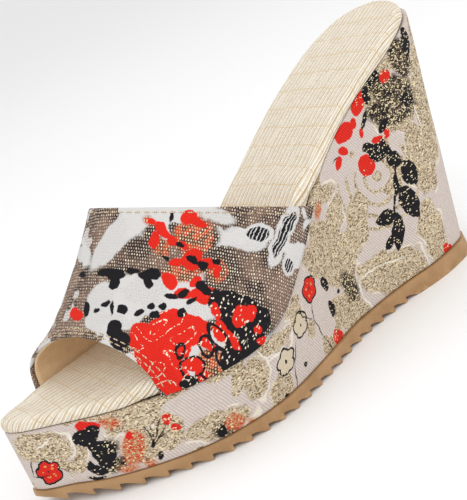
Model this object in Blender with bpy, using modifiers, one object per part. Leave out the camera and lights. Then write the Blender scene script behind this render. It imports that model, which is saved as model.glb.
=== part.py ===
"""Left-foot wedge slide sandal: fabric-covered wedge and platform, wrapped footbed, wide lined vamp.

Metres. +X runs from the toe to the heel, +Y is the inner side of the foot, +Z is up.
The shoe is modelled with its toe tip at x = 0, then an empty moves all of it so that the
origin lies under the middle of the shoe, on the ground.
"""

import math

import bmesh
import bpy
import numpy as np
from mathutils import Vector
from mathutils.geometry import interpolate_bezier

MM = 0.001

# Driving dimensions of the sole
FOOTBED_LENGTH = 210 * MM
BALL_WIDTH = 80 * MM
PLATFORM_HEIGHT = 29 * MM
HEEL_HEIGHT = 101.5 * MM
TOE_LIFT = 3.6 * MM
WALL_DRAFT = 4 * MM
HEEL_UNDERCUT = 11.5 * MM
HEEL_LEDGE = 3 * MM

# Rubber outsole
OUTSOLE_TOE = 4.4 * MM
OUTSOLE_BALL = 5.2 * MM
OUTSOLE_HEEL = 7.0 * MM
OUTSOLE_PROUD = 0.8 * MM
OUTSOLE_FLARE = 0.9 * MM
TOE_SPRING = 4.2 * MM
SPRING_LENGTH = 0.252 * FOOTBED_LENGTH
TOOTH_PITCH = 7.04 * MM
TOOTH_DEPTH = 2.2 * MM
TOOTH_COUNT = 22
FIRST_TOOTH = 6.4 * MM

# Sheet thicknesses and the clearance between neighbouring pieces
GAP = 0.3 * MM
WEDGE_FABRIC = 0.8 * MM
FOOTBED_WRAP = 0.6 * MM
BOARD = 1.3 * MM
FOAM = 1.6 * MM
FOAM_ROUND = 0.9 * MM
TURN_IN = 8 * MM

# Vamp layers, and the two free edges of the vamp
VAMP_FABRIC = 0.8 * MM
INTERLINING = 0.4 * MM
LINING = 0.7 * MM
SKIVED = 0.4 * MM
VAMP_OVERHANG = 1.4 * MM
VAMP_EASE = 1.2 * MM
LIFT_LEAD = 2 * MM
LIFT_RAMP = 7 * MM
UPRIGHT_HEIGHT = 7 * MM
LEANING_HEIGHT = 28 * MM
EDGE_FOLD = 1.5 * MM
VAMP_TURN_IN = 7 * MM
VAMP_FLAT = 3 * MM
FRONT_EDGE = {
    "lateral": 0.2014 * FOOTBED_LENGTH,
    "medial": 0.0981 * FOOTBED_LENGTH,
    "height": 25.7 * MM,
    "lean": 0.7 * MM,
    "fullness": 1.9,
    "skew": -0.9 * MM,
}
BACK_EDGE = {
    "lateral": 0.5938 * FOOTBED_LENGTH,
    "medial": 0.5843 * FOOTBED_LENGTH,
    "height": 31.4 * MM,
    "lean": -0.289 * FOOTBED_LENGTH,
    "fullness": 2.4,
    "skew": 0.0386 * FOOTBED_LENGTH,
}

# Steel shank, its rivets, and the heel nails
SHANK_START = 0.533 * FOOTBED_LENGTH
SHANK_END = 0.895 * FOOTBED_LENGTH
SHANK_WIDTH = 12 * MM
SHANK = 1.2 * MM
RIVET_INSET = 7 * MM
RIVET_RADIUS = 1.8 * MM
RIVET_HEAD_RADIUS = 3.6 * MM
CLENCH = 0.8 * MM
NAIL_RADIUS = 0.9 * MM
NAIL_HEAD_RADIUS = 2.3 * MM
NAIL_HEAD = 0.7 * MM
NAIL_LENGTH = 20 * MM
NAIL_PLACES = [
    (0.933 * FOOTBED_LENGTH, 0.0),
    (0.905 * FOOTBED_LENGTH, -0.125 * BALL_WIDTH),
    (0.905 * FOOTBED_LENGTH, 0.137 * BALL_WIDTH),
    (0.833 * FOOTBED_LENGTH, -0.137 * BALL_WIDTH),
    (0.833 * FOOTBED_LENGTH, 0.15 * BALL_WIDTH),
]

# Bottom filler between the turned-in edges of the vamp
FILLER_START = 0.238 * FOOTBED_LENGTH
FILLER_END = 0.505 * FOOTBED_LENGTH

# Outline of the footbed: share of its length, then its outer and inner edge as shares of half
# the ball width. The first row is the toe tip and the last one the back of the heel.
OUTLINE = [
    (0.000, 0.40, 0.40),
    (0.012, 0.23, 0.51),
    (0.060, -0.04, 0.64),
    (0.150, -0.48, 0.82),
    (0.280, -0.90, 1.00),
    (0.400, -1.01, 0.83),
    (0.520, -0.87, 0.67),
    (0.640, -0.67, 0.59),
    (0.760, -0.61, 0.62),
    (0.880, -0.63, 0.64),
    (0.965, -0.48, 0.49),
    (1.000, 0.00, 0.00),
]
# Height of the seam between wedge and footbed: share of the length, share of the rise to the heel
RISE = [(0.28, 0.0), (0.40, 0.035), (0.52, 0.24), (0.64, 0.50), (0.76, 0.71), (0.88, 0.87), (1.0, 1.0)]
SAMPLES_PER_SPAN = 4
VAMP_ROWS = 8
VAMP_COLUMNS = 22
CROWDING = 0.4
SPINE_START = 0.10
SPINE_END = 0.88


# ---------------------------------------------------------------- curves and heights

def through(points, before, after):
    """Sample a smooth curve that passes through the points; before and after steer its ends."""
    padded = [before, *points, after]
    samples = []
    for index in range(1, len(padded) - 2):
        previous, start, end, following = padded[index - 1:index + 3]
        first_chord = max((start - previous).length, 1e-9)
        chord = (end - start).length
        last_chord = max((following - end).length, 1e-9)
        leaving = (end - previous) * (chord / (first_chord + chord))
        arriving = (following - start) * (chord / (chord + last_chord))
        stretch = interpolate_bezier(
            start, start + leaving / 3, end - arriving / 3, end, SAMPLES_PER_SPAN + 1
        )
        samples.extend(stretch[:-1])
    samples.append(padded[-2])
    return samples


def mirrored(row):
    """The same cross line with its outer and inner ends swapped, which makes a round tip."""
    return Vector((row[0], row[2], row[1]))


def outline_rows():
    """Cross lines of the footbed from toe to heel, each as (x, outer y, inner y)."""
    half = BALL_WIDTH / 2
    rows = [Vector((x * FOOTBED_LENGTH, outer * half, inner * half)) for x, outer, inner in OUTLINE]
    return through(rows, mirrored(rows[1]), mirrored(rows[-2]))


ROWS = outline_rows()
ROW_X = [row[0] for row in ROWS]


def outer_edge(x):
    return float(np.interp(x, ROW_X, [row[1] for row in ROWS]))


def inner_edge(x):
    return float(np.interp(x, ROW_X, [row[2] for row in ROWS]))


def centre(x):
    return (outer_edge(x) + inner_edge(x)) / 2


def rise_curve():
    """The seam line in side view, from the lifted toe to the heel."""
    rise = HEEL_HEIGHT - PLATFORM_HEIGHT
    points = [
        Vector((0.0, PLATFORM_HEIGHT + TOE_LIFT, 0.0)),
        Vector((FOOTBED_LENGTH * 0.14, PLATFORM_HEIGHT + TOE_LIFT * 0.3, 0.0)),
    ]
    points += [Vector((x * FOOTBED_LENGTH, PLATFORM_HEIGHT + share * rise, 0.0)) for x, share in RISE]
    return through(points, 2 * points[0] - points[1], 2 * points[-1] - points[-2])


SEAM = rise_curve()
SEAM_X = [point.x for point in SEAM]
SEAM_Z = [point.y for point in SEAM]


def seam_height(x):
    """Height of the top of the covered wedge, where the footbed sits on it."""
    return float(np.interp(x, SEAM_X, SEAM_Z))


def seam_slope(x):
    step = 2 * MM
    inside = min(max(x, step), FOOTBED_LENGTH - step)
    return (seam_height(inside + step) - seam_height(inside - step)) / (2 * step)


def above_seam(x, depth):
    """Height of a surface that runs parallel to the seam line, depth above it."""
    return seam_height(x) + depth * math.sqrt(1 + seam_slope(x) ** 2)


def ground_clearance(x):
    """How far the curled-up toe stands above the ground."""
    return TOE_SPRING * max(0.0, 1 - x / SPRING_LENGTH) ** 2


def outsole_top(x):
    thickness = np.interp(
        x, [0, SPRING_LENGTH, FOOTBED_LENGTH], [OUTSOLE_TOE, OUTSOLE_BALL, OUTSOLE_HEEL]
    )
    return ground_clearance(max(x, 0.0)) + float(thickness)


def ease(value):
    """0 below 0, 1 above 1, and a smooth step between them."""
    inside = min(max(value, 0.0), 1.0)
    return inside * inside * (3 - 2 * inside)


# ---------------------------------------------------------------- rings around the sole

def outline_ring():
    """The footbed's outline as a ring: out along the outer edge, back along the inner edge."""
    outer = [(row[0], row[1]) for row in ROWS]
    inner = [(row[0], row[2]) for row in reversed(ROWS[1:-1])]
    return outer + inner


RING = outline_ring()
HALF_RING = len(ROWS) - 1


def inset(ring, depths):
    """Move each point of a ring towards the spine of the shoe by its depth."""
    moved = []
    for (x, y), depth in zip(ring, depths):
        spine_x = min(max(x, SPINE_START * FOOTBED_LENGTH), SPINE_END * FOOTBED_LENGTH)
        direction = Vector((spine_x - x, centre(spine_x) - y)).normalized()
        moved.append((x + direction.x * depth, y + direction.y * depth))
    return moved


def even(depth):
    return [depth] * len(RING)


def seam_ring():
    """Top edge of the covered wedge, which stands behind the footbed at the heel."""
    start = SPINE_END * FOOTBED_LENGTH
    return [
        (x + HEEL_LEDGE * ease((x - start) / (FOOTBED_LENGTH - start)), y) for x, y in RING
    ]


def bottom_ring(depth):
    """Bottom edge of the covered wedge: drawn in at the sides, undercut at the heel."""
    lean = HEEL_UNDERCUT - 2 * WALL_DRAFT
    drawn_in = inset(seam_ring(), even(WALL_DRAFT + depth))
    return [(x - WALL_DRAFT - lean * max(x, 0.0) / FOOTBED_LENGTH, y) for x, y in drawn_in]


def top_points(depth, offset):
    """Points of a ring on the wedge's top edge, drawn in by depth, offset above the seam line."""
    ring = inset(seam_ring(), even(depth))
    return [(x, y, above_seam(x, offset)) for x, y in ring]


def plateau_points(offset):
    """Points round the raised middle of the wedge's top, inside everything turned in on it."""
    ring = inset(RING, even(TURN_IN + GAP))
    return [(x, y, above_seam(x, offset)) for x, y in ring]


def bottom_points(depth, offset):
    """Points of a ring over the outsole, drawn in by depth, offset above the outsole."""
    return [(x, y, outsole_top(x) + GAP + offset) for x, y in bottom_ring(depth)]


def beside_vamp(x, outer):
    """1 where the vamp goes down beside the footbed, 0 where the footbed is free."""
    side = "lateral" if outer else "medial"
    entered = ease((x - FRONT_EDGE[side] + LIFT_LEAD) / LIFT_RAMP + 1)
    left = ease((BACK_EDGE[side] - x + LIFT_LEAD) / LIFT_RAMP + 1)
    return entered * left


VAMP_SHARE = [beside_vamp(x, index <= HALF_RING) for index, (x, y) in enumerate(RING)]
VAMP_STACK = VAMP_FABRIC + INTERLINING + LINING + 3 * GAP
FOOTBED_LIFT = 2 * SKIVED + 3 * GAP


def footbed_points(depth, offset, narrowed=True):
    """Points of a ring of the footbed, which the turned-in vamp narrows and lifts."""
    narrowing = VAMP_STACK - VAMP_OVERHANG + VAMP_EASE if narrowed else 0.0
    ring = inset(RING, [depth + share * narrowing for share in VAMP_SHARE])
    return [
        (x, y, above_seam(x, offset + share * FOOTBED_LIFT)) for (x, y), share in zip(ring, VAMP_SHARE)
    ]


# Heights of the footbed's layers above the seam line
WRAP_UNDERSIDE = GAP
BOARD_UNDERSIDE = WRAP_UNDERSIDE + FOOTBED_WRAP + GAP
FOAM_UNDERSIDE = BOARD_UNDERSIDE + BOARD + GAP
FOAM_TOP = FOAM_UNDERSIDE + FOAM
WRAP_TOP = FOAM_TOP + GAP + FOOTBED_WRAP
PLATEAU = BOARD_UNDERSIDE - GAP


# ---------------------------------------------------------------- objects and materials

def clear_scene():
    for item in list(bpy.data.objects):
        bpy.data.objects.remove(item, do_unlink=True)


def new_collection(name):
    collection = bpy.data.collections.new(name)
    bpy.context.scene.collection.children.link(collection)
    return collection


clear_scene()
PARTS = new_collection("wedge_sandal")
CUTTERS = new_collection("cutters")
ORIGIN = bpy.data.objects.new("under_the_middle", None)
PARTS.objects.link(ORIGIN)


def material(name, colour, roughness, metallic=0.0):
    made = bpy.data.materials.new(name)
    made.use_nodes = True
    shader = made.node_tree.nodes["Principled BSDF"]
    shader.inputs["Base Color"].default_value = (*colour, 1.0)
    shader.inputs["Roughness"].default_value = roughness
    shader.inputs["Metallic"].default_value = metallic
    return made


BROCADE = material("printed_brocade", (0.42, 0.34, 0.30), 0.75)
STRAW = material("woven_straw", (0.80, 0.70, 0.52), 0.7)
RUBBER = material("honey_rubber", (0.36, 0.17, 0.05), 0.45)
CORK = material("pressed_cork", (0.45, 0.28, 0.14), 0.9)
FIBREBOARD = material("fibreboard", (0.50, 0.38, 0.24), 0.85)
FOAM_RUBBER = material("foam", (0.85, 0.80, 0.66), 0.9)
LINING_LEATHER = material("lining_leather", (0.72, 0.58, 0.42), 0.55)
FLEECE = material("woven_interlining", (0.88, 0.87, 0.83), 0.9)
STEEL = material("spring_steel", (0.55, 0.56, 0.58), 0.35, 1.0)


def part(name, mesh, finish):
    """A named piece in the shoe's collection, moved with the shoe's origin."""
    made = bpy.data.objects.new(name, mesh)
    mesh.materials.clear()
    mesh.materials.append(finish)
    PARTS.objects.link(made)
    made.parent = ORIGIN
    return made


def cutter(name, mesh):
    made = bpy.data.objects.new(name, mesh)
    CUTTERS.objects.link(made)
    made.parent = ORIGIN
    made.hide_render = True
    made.display_type = "WIRE"
    return made


def combine(target, tool, operation):
    modifier = target.modifiers.new(tool.name, "BOOLEAN")
    modifier.object = tool
    modifier.operation = operation
    modifier.solver = "EXACT"


def finish_mesh(name, shape, smooth_angle=40):
    """Turn a closed bmesh outwards and store it, smooth except over sharp corners."""
    bmesh.ops.triangulate(shape, faces=shape.faces, quad_method="SHORT_EDGE")
    bmesh.ops.recalc_face_normals(shape, faces=shape.faces)
    mesh = bpy.data.meshes.new(name)
    shape.to_mesh(mesh)
    shape.free()
    mesh.shade_smooth()
    mesh.set_sharp_from_angle(angle=math.radians(smooth_angle))
    return mesh


def cap(shape, ring):
    """Close a ring of the sole with strips from its outer to its inner edge."""
    for index in range(HALF_RING):
        corners = [ring[index], ring[index + 1], ring[-index - 1], ring[-index]]
        if index == 0:
            corners = [ring[0], ring[1], ring[-1]]
        if index == HALF_RING - 1:
            corners = [ring[index], ring[index + 1], ring[-index]]
        shape.faces.new(corners)


def loft(name, rings, closed=False):
    """Skin a row of rings. Closed joins the last ring to the first; otherwise both are capped."""
    shape = bmesh.new()
    made = [[shape.verts.new(point) for point in ring] for ring in rings]
    pairs = list(zip(made, made[1:]))
    if closed:
        pairs.append((made[-1], made[0]))
    for low, high in pairs:
        for index in range(len(low)):
            following = (index + 1) % len(low)
            shape.faces.new((low[index], low[following], high[following], high[index]))
    if not closed:
        cap(shape, made[0])
        cap(shape, made[-1])
    return finish_mesh(name, shape)


def strip(name, places, outer, inner, low, high):
    """A flat strip along the shoe between two edges and two surfaces, all functions of x."""
    shape = bmesh.new()
    sections = []
    for x in places:
        corners = [
            (x, outer(x), low(x)),
            (x, inner(x), low(x)),
            (x, inner(x), high(x)),
            (x, outer(x), high(x)),
        ]
        sections.append([shape.verts.new(corner) for corner in corners])
    for first, second in zip(sections, sections[1:]):
        for index in range(4):
            following = (index + 1) % 4
            shape.faces.new((first[index], first[following], second[following], second[index]))
    shape.faces.new(sections[0])
    shape.faces.new(sections[-1])
    return finish_mesh(name, shape)


# ---------------------------------------------------------------- outsole

def tooth_profile():
    """Underside of the outsole in side view: a long curved face falls to each tooth's tip."""
    fall = [(0.0, 1.0), (0.30, 0.86), (0.62, 0.45), (0.90, 0.03), (0.985, 0.04)]
    points = []
    for index in range(TOOTH_COUNT):
        tip = FIRST_TOOTH + index * TOOTH_PITCH
        for along, height in fall:
            x = tip - TOOTH_PITCH * (1 - along)
            points.append((x, ground_clearance(x) + TOOTH_DEPTH * height))
    last_tip = FIRST_TOOTH + (TOOTH_COUNT - 1) * TOOTH_PITCH
    for along, height in fall[:3]:
        points.append((last_tip + TOOTH_PITCH * along, TOOTH_DEPTH * height))
    points.append((last_tip + TOOTH_PITCH, 0.0))
    return points


def tread_block():
    """A wide block whose underside is the tooth profile, used to cut the outsole's tread."""
    over = 40 * MM
    points = tooth_profile()
    toe = points[0]
    points.insert(0, (toe[0] - over, toe[1]))
    points.append((FOOTBED_LENGTH + over, 0.0))
    points.append((FOOTBED_LENGTH + over, over))
    points.append((toe[0] - over, over))
    curve = bpy.data.curves.new("tread_profile", "CURVE")
    curve.dimensions = "2D"
    curve.fill_mode = "BOTH"
    curve.extrude = BALL_WIDTH
    spline = curve.splines.new("POLY")
    spline.points.add(len(points) - 1)
    for point, (x, z) in zip(spline.points, points):
        point.co = (x, z, 0.0, 1.0)
    spline.use_cyclic_u = True
    drawn = bpy.data.objects.new("tread_profile", curve)
    drawn.rotation_euler = (math.pi / 2, 0.0, 0.0)
    CUTTERS.objects.link(drawn)
    bpy.context.view_layer.update()
    evaluated = drawn.evaluated_get(bpy.context.evaluated_depsgraph_get())
    mesh = bpy.data.meshes.new_from_object(evaluated)
    shape = bmesh.new()
    shape.from_mesh(mesh)
    bmesh.ops.remove_doubles(shape, verts=shape.verts, dist=0.00001)
    shape.to_mesh(mesh)
    shape.free()
    block = cutter("tread_block", mesh)
    block.matrix_world = drawn.matrix_world.copy()
    bpy.data.objects.remove(drawn, do_unlink=True)
    return block


def outsole():
    """Rubber slab with a wall that flares towards the ground and a toothed tread."""
    below = 2 * MM
    top = [(x, y, outsole_top(x)) for x, y in bottom_ring(-OUTSOLE_PROUD)]
    wide = bottom_ring(-OUTSOLE_PROUD - OUTSOLE_FLARE)
    bottom = [(x, y, -below) for x, y in wide]
    made = part("outsole", loft("outsole", [bottom, top]), RUBBER)
    combine(made, tread_block(), "INTERSECT")
    return made


# ---------------------------------------------------------------- wedge

def wedge_core():
    """Cork wedge, let in round its top and bottom edges for the turned-in fabric."""
    let_in = WEDGE_FABRIC + GAP
    shoulder = TURN_IN + GAP
    rings = [
        bottom_points(shoulder, 0.0),
        bottom_points(shoulder, let_in),
        bottom_points(let_in, let_in),
        top_points(let_in, -let_in),
        plateau_points(-let_in),
        plateau_points(PLATEAU),
    ]
    return part("wedge_core", loft("wedge_core", rings), CORK)


def wedge_cover():
    """Brocade band round the wedge, turned in over its top and under its bottom edge."""
    rings = [
        bottom_points(0.0, 0.0),
        top_points(0.0, 0.0),
        top_points(TURN_IN, 0.0),
        top_points(TURN_IN, -WEDGE_FABRIC),
        top_points(WEDGE_FABRIC, -WEDGE_FABRIC),
        bottom_points(WEDGE_FABRIC, WEDGE_FABRIC),
        bottom_points(TURN_IN, WEDGE_FABRIC),
        bottom_points(TURN_IN, 0.0),
    ]
    return part("wedge_cover", loft("wedge_cover", rings, closed=True), BROCADE)


def lasting_filler():
    """Cork sheet that levels the space between the vamp's turned-in edges."""
    clear = TURN_IN + 2 * GAP + VAMP_STACK + VAMP_EASE
    places = np.linspace(FILLER_START, FILLER_END, 8)
    mesh = strip(
        "lasting_filler",
        places,
        lambda x: outer_edge(x) + clear,
        lambda x: inner_edge(x) - clear,
        lambda x: above_seam(x, PLATEAU + GAP),
        lambda x: above_seam(x, PLATEAU + FOOTBED_LIFT - GAP),
    )
    return part("lasting_filler", mesh, CORK)


# ---------------------------------------------------------------- footbed

def insole_board():
    edge = FOOTBED_WRAP + GAP
    rings = [
        footbed_points(edge, BOARD_UNDERSIDE),
        footbed_points(edge, BOARD_UNDERSIDE + BOARD),
    ]
    return part("insole_board", loft("insole_board", rings), FIBREBOARD)


def footbed_foam():
    edge = FOOTBED_WRAP + GAP
    rings = [
        footbed_points(edge, FOAM_UNDERSIDE),
        footbed_points(edge, FOAM_TOP - FOAM_ROUND),
        footbed_points(edge + FOAM_ROUND, FOAM_TOP),
    ]
    return part("footbed_foam", loft("footbed_foam", rings), FOAM_RUBBER)


def footbed_cover():
    """Woven cover over the foam, round the edge and turned in under the board."""
    inside = FOOTBED_WRAP
    shoulder = FOAM_TOP - FOAM_ROUND + GAP / 2
    rings = [
        footbed_points(FOAM_ROUND + FOOTBED_WRAP, WRAP_TOP),
        footbed_points(0.3 * FOAM_ROUND, WRAP_TOP - 0.4 * FOAM_ROUND),
        footbed_points(0.0, shoulder),
        footbed_points(0.0, WRAP_UNDERSIDE + FOOTBED_WRAP),
        footbed_points(0.6 * FOOTBED_WRAP, WRAP_UNDERSIDE),
        footbed_points(TURN_IN, WRAP_UNDERSIDE, narrowed=False),
        footbed_points(TURN_IN, WRAP_UNDERSIDE + FOOTBED_WRAP, narrowed=False),
        footbed_points(inside, WRAP_UNDERSIDE + FOOTBED_WRAP),
        footbed_points(inside, shoulder),
        footbed_points(inside + FOAM_ROUND, FOAM_TOP + GAP),
    ]
    return part("footbed_cover", loft("footbed_cover", rings), STRAW)


# ---------------------------------------------------------------- shank, rivets and nails

def shank_strip(name, spare, low, high):
    return strip(
        name,
        np.linspace(SHANK_START - spare, SHANK_END + spare, 9),
        lambda x: centre(x) - SHANK_WIDTH / 2 - spare,
        lambda x: centre(x) + SHANK_WIDTH / 2 + spare,
        lambda x: above_seam(x, low),
        lambda x: above_seam(x, high),
    )


def turned_pin(name, radius, head_radius, head_height, length):
    """A headed pin that hangs from the origin, head up."""
    outline = [
        (0.0, 0.0),
        (head_radius, 0.0),
        (head_radius, -head_height),
        (radius, -head_height - (head_radius - radius) * 0.2),
        (radius, -length + radius),
        (radius * 0.3, -length),
        (0.0, -length),
    ]
    mesh = bpy.data.meshes.new(name)
    points = [(x, 0.0, z) for x, z in outline]
    edges = [(index, index + 1) for index in range(len(points) - 1)]
    mesh.from_pydata(points, edges, [])
    return mesh


def turn(target):
    screw = target.modifiers.new("turned", "SCREW")
    screw.axis = "Z"
    screw.steps = 12
    screw.render_steps = 12
    screw.use_merge_vertices = True
    screw.merge_threshold = 0.00001
    screw.use_smooth_shade = False


def place_on_footbed(target, x, y, offset):
    """Set a pin square to the sloping footbed with its head offset above the seam line."""
    target.location = (x, y, above_seam(x, offset))
    target.rotation_euler = (0.0, -math.atan(seam_slope(x)), 0.0)


def pin_with_hole(name, finish, x, y, top, sizes, clearances):
    """Put a pin in its place, and return the cutter for its hole, larger by the clearances."""
    made = part(name, turned_pin(name, *sizes), finish)
    turn(made)
    place_on_footbed(made, x, y, top)
    wide = [size + clearance for size, clearance in zip(sizes, clearances)]
    hole = cutter(name + "_hole", turned_pin(name + "_hole", *wide))
    turn(hole)
    place_on_footbed(hole, x, y, top + GAP)
    return hole


def shank_and_fastenings(core, board):
    """Steel shank let into the wedge, riveted to the board, and the nails through the heel seat."""
    top = PLATEAU - GAP
    clench_room = CLENCH + 2 * GAP
    shank = part("steel_shank", shank_strip("steel_shank", 0.0, top - SHANK, top), STEEL)
    low = top - SHANK - clench_room
    groove = cutter("shank_groove", shank_strip("shank_groove", GAP, low, PLATEAU + 1 * MM))
    combine(core, groove, "DIFFERENCE")
    head_top = BOARD_UNDERSIDE + BOARD
    room = (GAP, GAP, GAP, GAP * 2)
    rivet_length = head_top - top + SHANK + CLENCH
    rivet_sizes = (RIVET_RADIUS, RIVET_HEAD_RADIUS, BOARD * 0.5, rivet_length)
    rivet_places = {"front": SHANK_START + RIVET_INSET, "rear": SHANK_END - RIVET_INSET}
    for place, x in rivet_places.items():
        name = "shank_rivet_" + place
        hole = pin_with_hole(name, STEEL, x, centre(x), head_top, rivet_sizes, room)
        combine(board, hole, "DIFFERENCE")
        combine(shank, hole, "DIFFERENCE")
    nail_sizes = (NAIL_RADIUS, NAIL_HEAD_RADIUS, NAIL_HEAD, NAIL_LENGTH)
    for number, (x, y) in enumerate(NAIL_PLACES, start=1):
        hole = pin_with_hole(f"heel_nail_{number}", STEEL, x, y, head_top, nail_sizes, room)
        combine(board, hole, "DIFFERENCE")
        combine(core, hole, "DIFFERENCE")


# ---------------------------------------------------------------- vamp

def foot_of_vamp(x, outer):
    """Where the outside of the vamp meets the top of the wedge."""
    y = outer_edge(x) - VAMP_OVERHANG if outer else inner_edge(x) + VAMP_OVERHANG
    return Vector((x, y, above_seam(x, GAP)))


def edge_arch(edge, turn_angle):
    """A point of one free edge of the vamp, and how far it is across and up that arch."""
    across = -math.cos(turn_angle)
    power = 2 / edge["fullness"]
    across = math.copysign(abs(across) ** power, across)
    up = abs(math.sin(turn_angle)) ** power
    start = foot_of_vamp(edge["lateral"], True)
    end = foot_of_vamp(edge["medial"], False)
    point = start.lerp(end, (across + 1) / 2)
    point += Vector((edge["lean"], edge["skew"], edge["height"])) * up
    return point, across, up


def vamp_point(along, turn_angle):
    """A point of the vamp's outside: along from front to back edge, angle from outer to inner."""
    front, front_across, front_up = edge_arch(FRONT_EDGE, turn_angle)
    back, back_across, back_up = edge_arch(BACK_EDGE, turn_angle)
    point = front.lerp(back, along)
    across = front_across + (back_across - front_across) * along
    up = front_up + (back_up - front_up) * along
    for side, outer, share in (("lateral", True, (1 - across) / 2), ("medial", False, (1 + across) / 2)):
        straight = foot_of_vamp(FRONT_EDGE[side], outer).lerp(foot_of_vamp(BACK_EDGE[side], outer), along)
        x = FRONT_EDGE[side] + (BACK_EDGE[side] - FRONT_EDGE[side]) * along
        point += (foot_of_vamp(x, outer) - straight) * share * (1 - up) ** 2
    upright = upright_share(point)
    stood_up = foot_of_vamp(point.x, across < 0).y
    point.y += (stood_up - point.y) * upright
    return point


def upright_share(point):
    """1 at the foot of the vamp, where it stands straight up beside the footbed, 0 higher up."""
    height = point.z - seam_height(point.x)
    return ease((LEANING_HEIGHT - height) / (LEANING_HEIGHT - UPRIGHT_HEIGHT))


def turned_in(along, outer):
    """The vamp's margin, from its end to where it lies flat on the wedge under the footbed."""
    side = "lateral" if outer else "medial"
    x = FRONT_EDGE[side] + (BACK_EDGE[side] - FRONT_EDGE[side]) * along
    edge = outer_edge(x) if outer else inner_edge(x)
    inwards = 1 if outer else -1
    return [Vector((x, edge + inwards * depth, above_seam(x, GAP))) for depth in (VAMP_TURN_IN, VAMP_FLAT)]


def vamp_row(along, skip, with_margins):
    """One line of points over the foot, with margins at its ends or with some points left off."""
    points = []
    for index in range(skip, VAMP_COLUMNS - skip + 1):
        angle = 2 * math.pi * index / VAMP_COLUMNS
        crowded = (angle - CROWDING * math.sin(angle)) / 2
        points.append(vamp_point(along, crowded))
    if with_margins:
        points = turned_in(along, True) + points + turned_in(along, False)[::-1]
    return points


def vamp_layer(name, finish, depth, thickness, fold, skip=0, margin_depth=None):
    """A sheet that lies depth under the vamp's outside; its margins are skived thin."""
    with_margins = margin_depth is not None
    shape = bmesh.new()
    start = fold / (BACK_EDGE["lateral"] - FRONT_EDGE["lateral"])
    grid = []
    for along in np.linspace(start, 1 - start, VAMP_ROWS + 1):
        points = vamp_row(along, skip, with_margins)
        grid.append([shape.verts.new(point) for point in points])
    for first, second in zip(grid, grid[1:]):
        for index in range(len(first) - 1):
            shape.faces.new((first[index], first[index + 1], second[index + 1], second[index]))
    shape.normal_update()
    middle = grid[VAMP_ROWS // 2][len(grid[0]) // 2]
    if middle.normal.z < 0:
        bmesh.ops.reverse_faces(shape, faces=shape.faces)
        shape.normal_update()
    margins = {row[index] for row in grid for index in ((0, 1, -2, -1) if with_margins else ())}
    moves = []
    for vertex in shape.verts:
        shift = margin_depth if vertex in margins else depth
        moves.append(vertex.normal * -shift * vertex.calc_shell_factor())
    for vertex, move in zip(shape.verts, moves):
        vertex.co += move
    shape.verts.index_update()
    margin_indices = [vertex.index for vertex in margins]
    mesh = bpy.data.meshes.new(name)
    shape.to_mesh(mesh)
    shape.free()
    mesh.shade_smooth()
    made = part(name, mesh, finish)
    group = made.vertex_groups.new(name="full_thickness")
    group.add(range(len(mesh.vertices)), 1.0, "REPLACE")
    if margin_indices:
        group.add(margin_indices, SKIVED / thickness, "REPLACE")
    solidify = made.modifiers.new("thickness", "SOLIDIFY")
    solidify.thickness = thickness
    solidify.offset = -1.0
    solidify.use_even_offset = True
    solidify.vertex_group = "full_thickness"
    return made


def vamp():
    """Printed fabric outside, woven interlining, and a lining whose margins lie over the fabric's."""
    vamp_layer("vamp_outer", BROCADE, 0.0, VAMP_FABRIC, 0.0, margin_depth=0.0)
    depth = VAMP_FABRIC + GAP
    vamp_layer("vamp_interlining", FLEECE, depth, INTERLINING, EDGE_FOLD, skip=3)
    depth += INTERLINING + GAP
    vamp_layer("vamp_lining", LINING_LEATHER, depth, LINING, EDGE_FOLD, margin_depth=SKIVED + GAP)


# ---------------------------------------------------------------- assembly

def centre_on_origin():
    """Move the whole shoe so that the middle of its box stands over the origin."""
    bpy.context.view_layer.update()
    depsgraph = bpy.context.evaluated_depsgraph_get()
    corners = []
    for item in PARTS.objects:
        if item.type == "MESH":
            mesh = item.evaluated_get(depsgraph).to_mesh()
            corners.extend(item.matrix_world @ vertex.co for vertex in mesh.vertices)
    places = np.array(corners)
    middle = (places.min(axis=0) + places.max(axis=0)) / 2
    ORIGIN.location = (-middle[0], -middle[1], -places[:, 2].min())
    bpy.context.view_layer.update()


def build():
    outsole()
    core = wedge_core()
    wedge_cover()
    lasting_filler()
    board = insole_board()
    footbed_foam()
    footbed_cover()
    shank_and_fastenings(core, board)
    vamp()
    centre_on_origin()


build()
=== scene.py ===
# %% [markdown]
# # A wedge slide sandal
# The shoe is a cork wedge covered in printed brocade, a rubber outsole with saw teeth, a footbed
# wrapped in straw-like weave, and one wide vamp of a second brocade with a soft lining.
# The imported model is the frame that everything is built on. It is loaded first.

# %% Load the frame
import math
from collections import Counter

import bpy
from mathutils import Matrix, Vector, noise


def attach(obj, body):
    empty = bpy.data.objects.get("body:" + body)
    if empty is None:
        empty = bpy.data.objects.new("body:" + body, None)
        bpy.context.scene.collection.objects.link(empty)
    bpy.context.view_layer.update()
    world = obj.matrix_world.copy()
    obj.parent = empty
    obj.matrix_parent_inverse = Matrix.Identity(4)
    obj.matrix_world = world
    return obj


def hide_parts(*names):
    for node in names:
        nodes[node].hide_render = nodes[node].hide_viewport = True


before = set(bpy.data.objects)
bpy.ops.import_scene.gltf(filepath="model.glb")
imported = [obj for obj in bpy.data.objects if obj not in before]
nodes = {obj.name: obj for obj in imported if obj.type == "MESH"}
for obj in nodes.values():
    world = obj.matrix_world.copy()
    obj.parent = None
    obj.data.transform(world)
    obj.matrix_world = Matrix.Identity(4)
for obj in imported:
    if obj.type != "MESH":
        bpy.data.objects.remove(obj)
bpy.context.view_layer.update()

MM = 0.001

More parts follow.
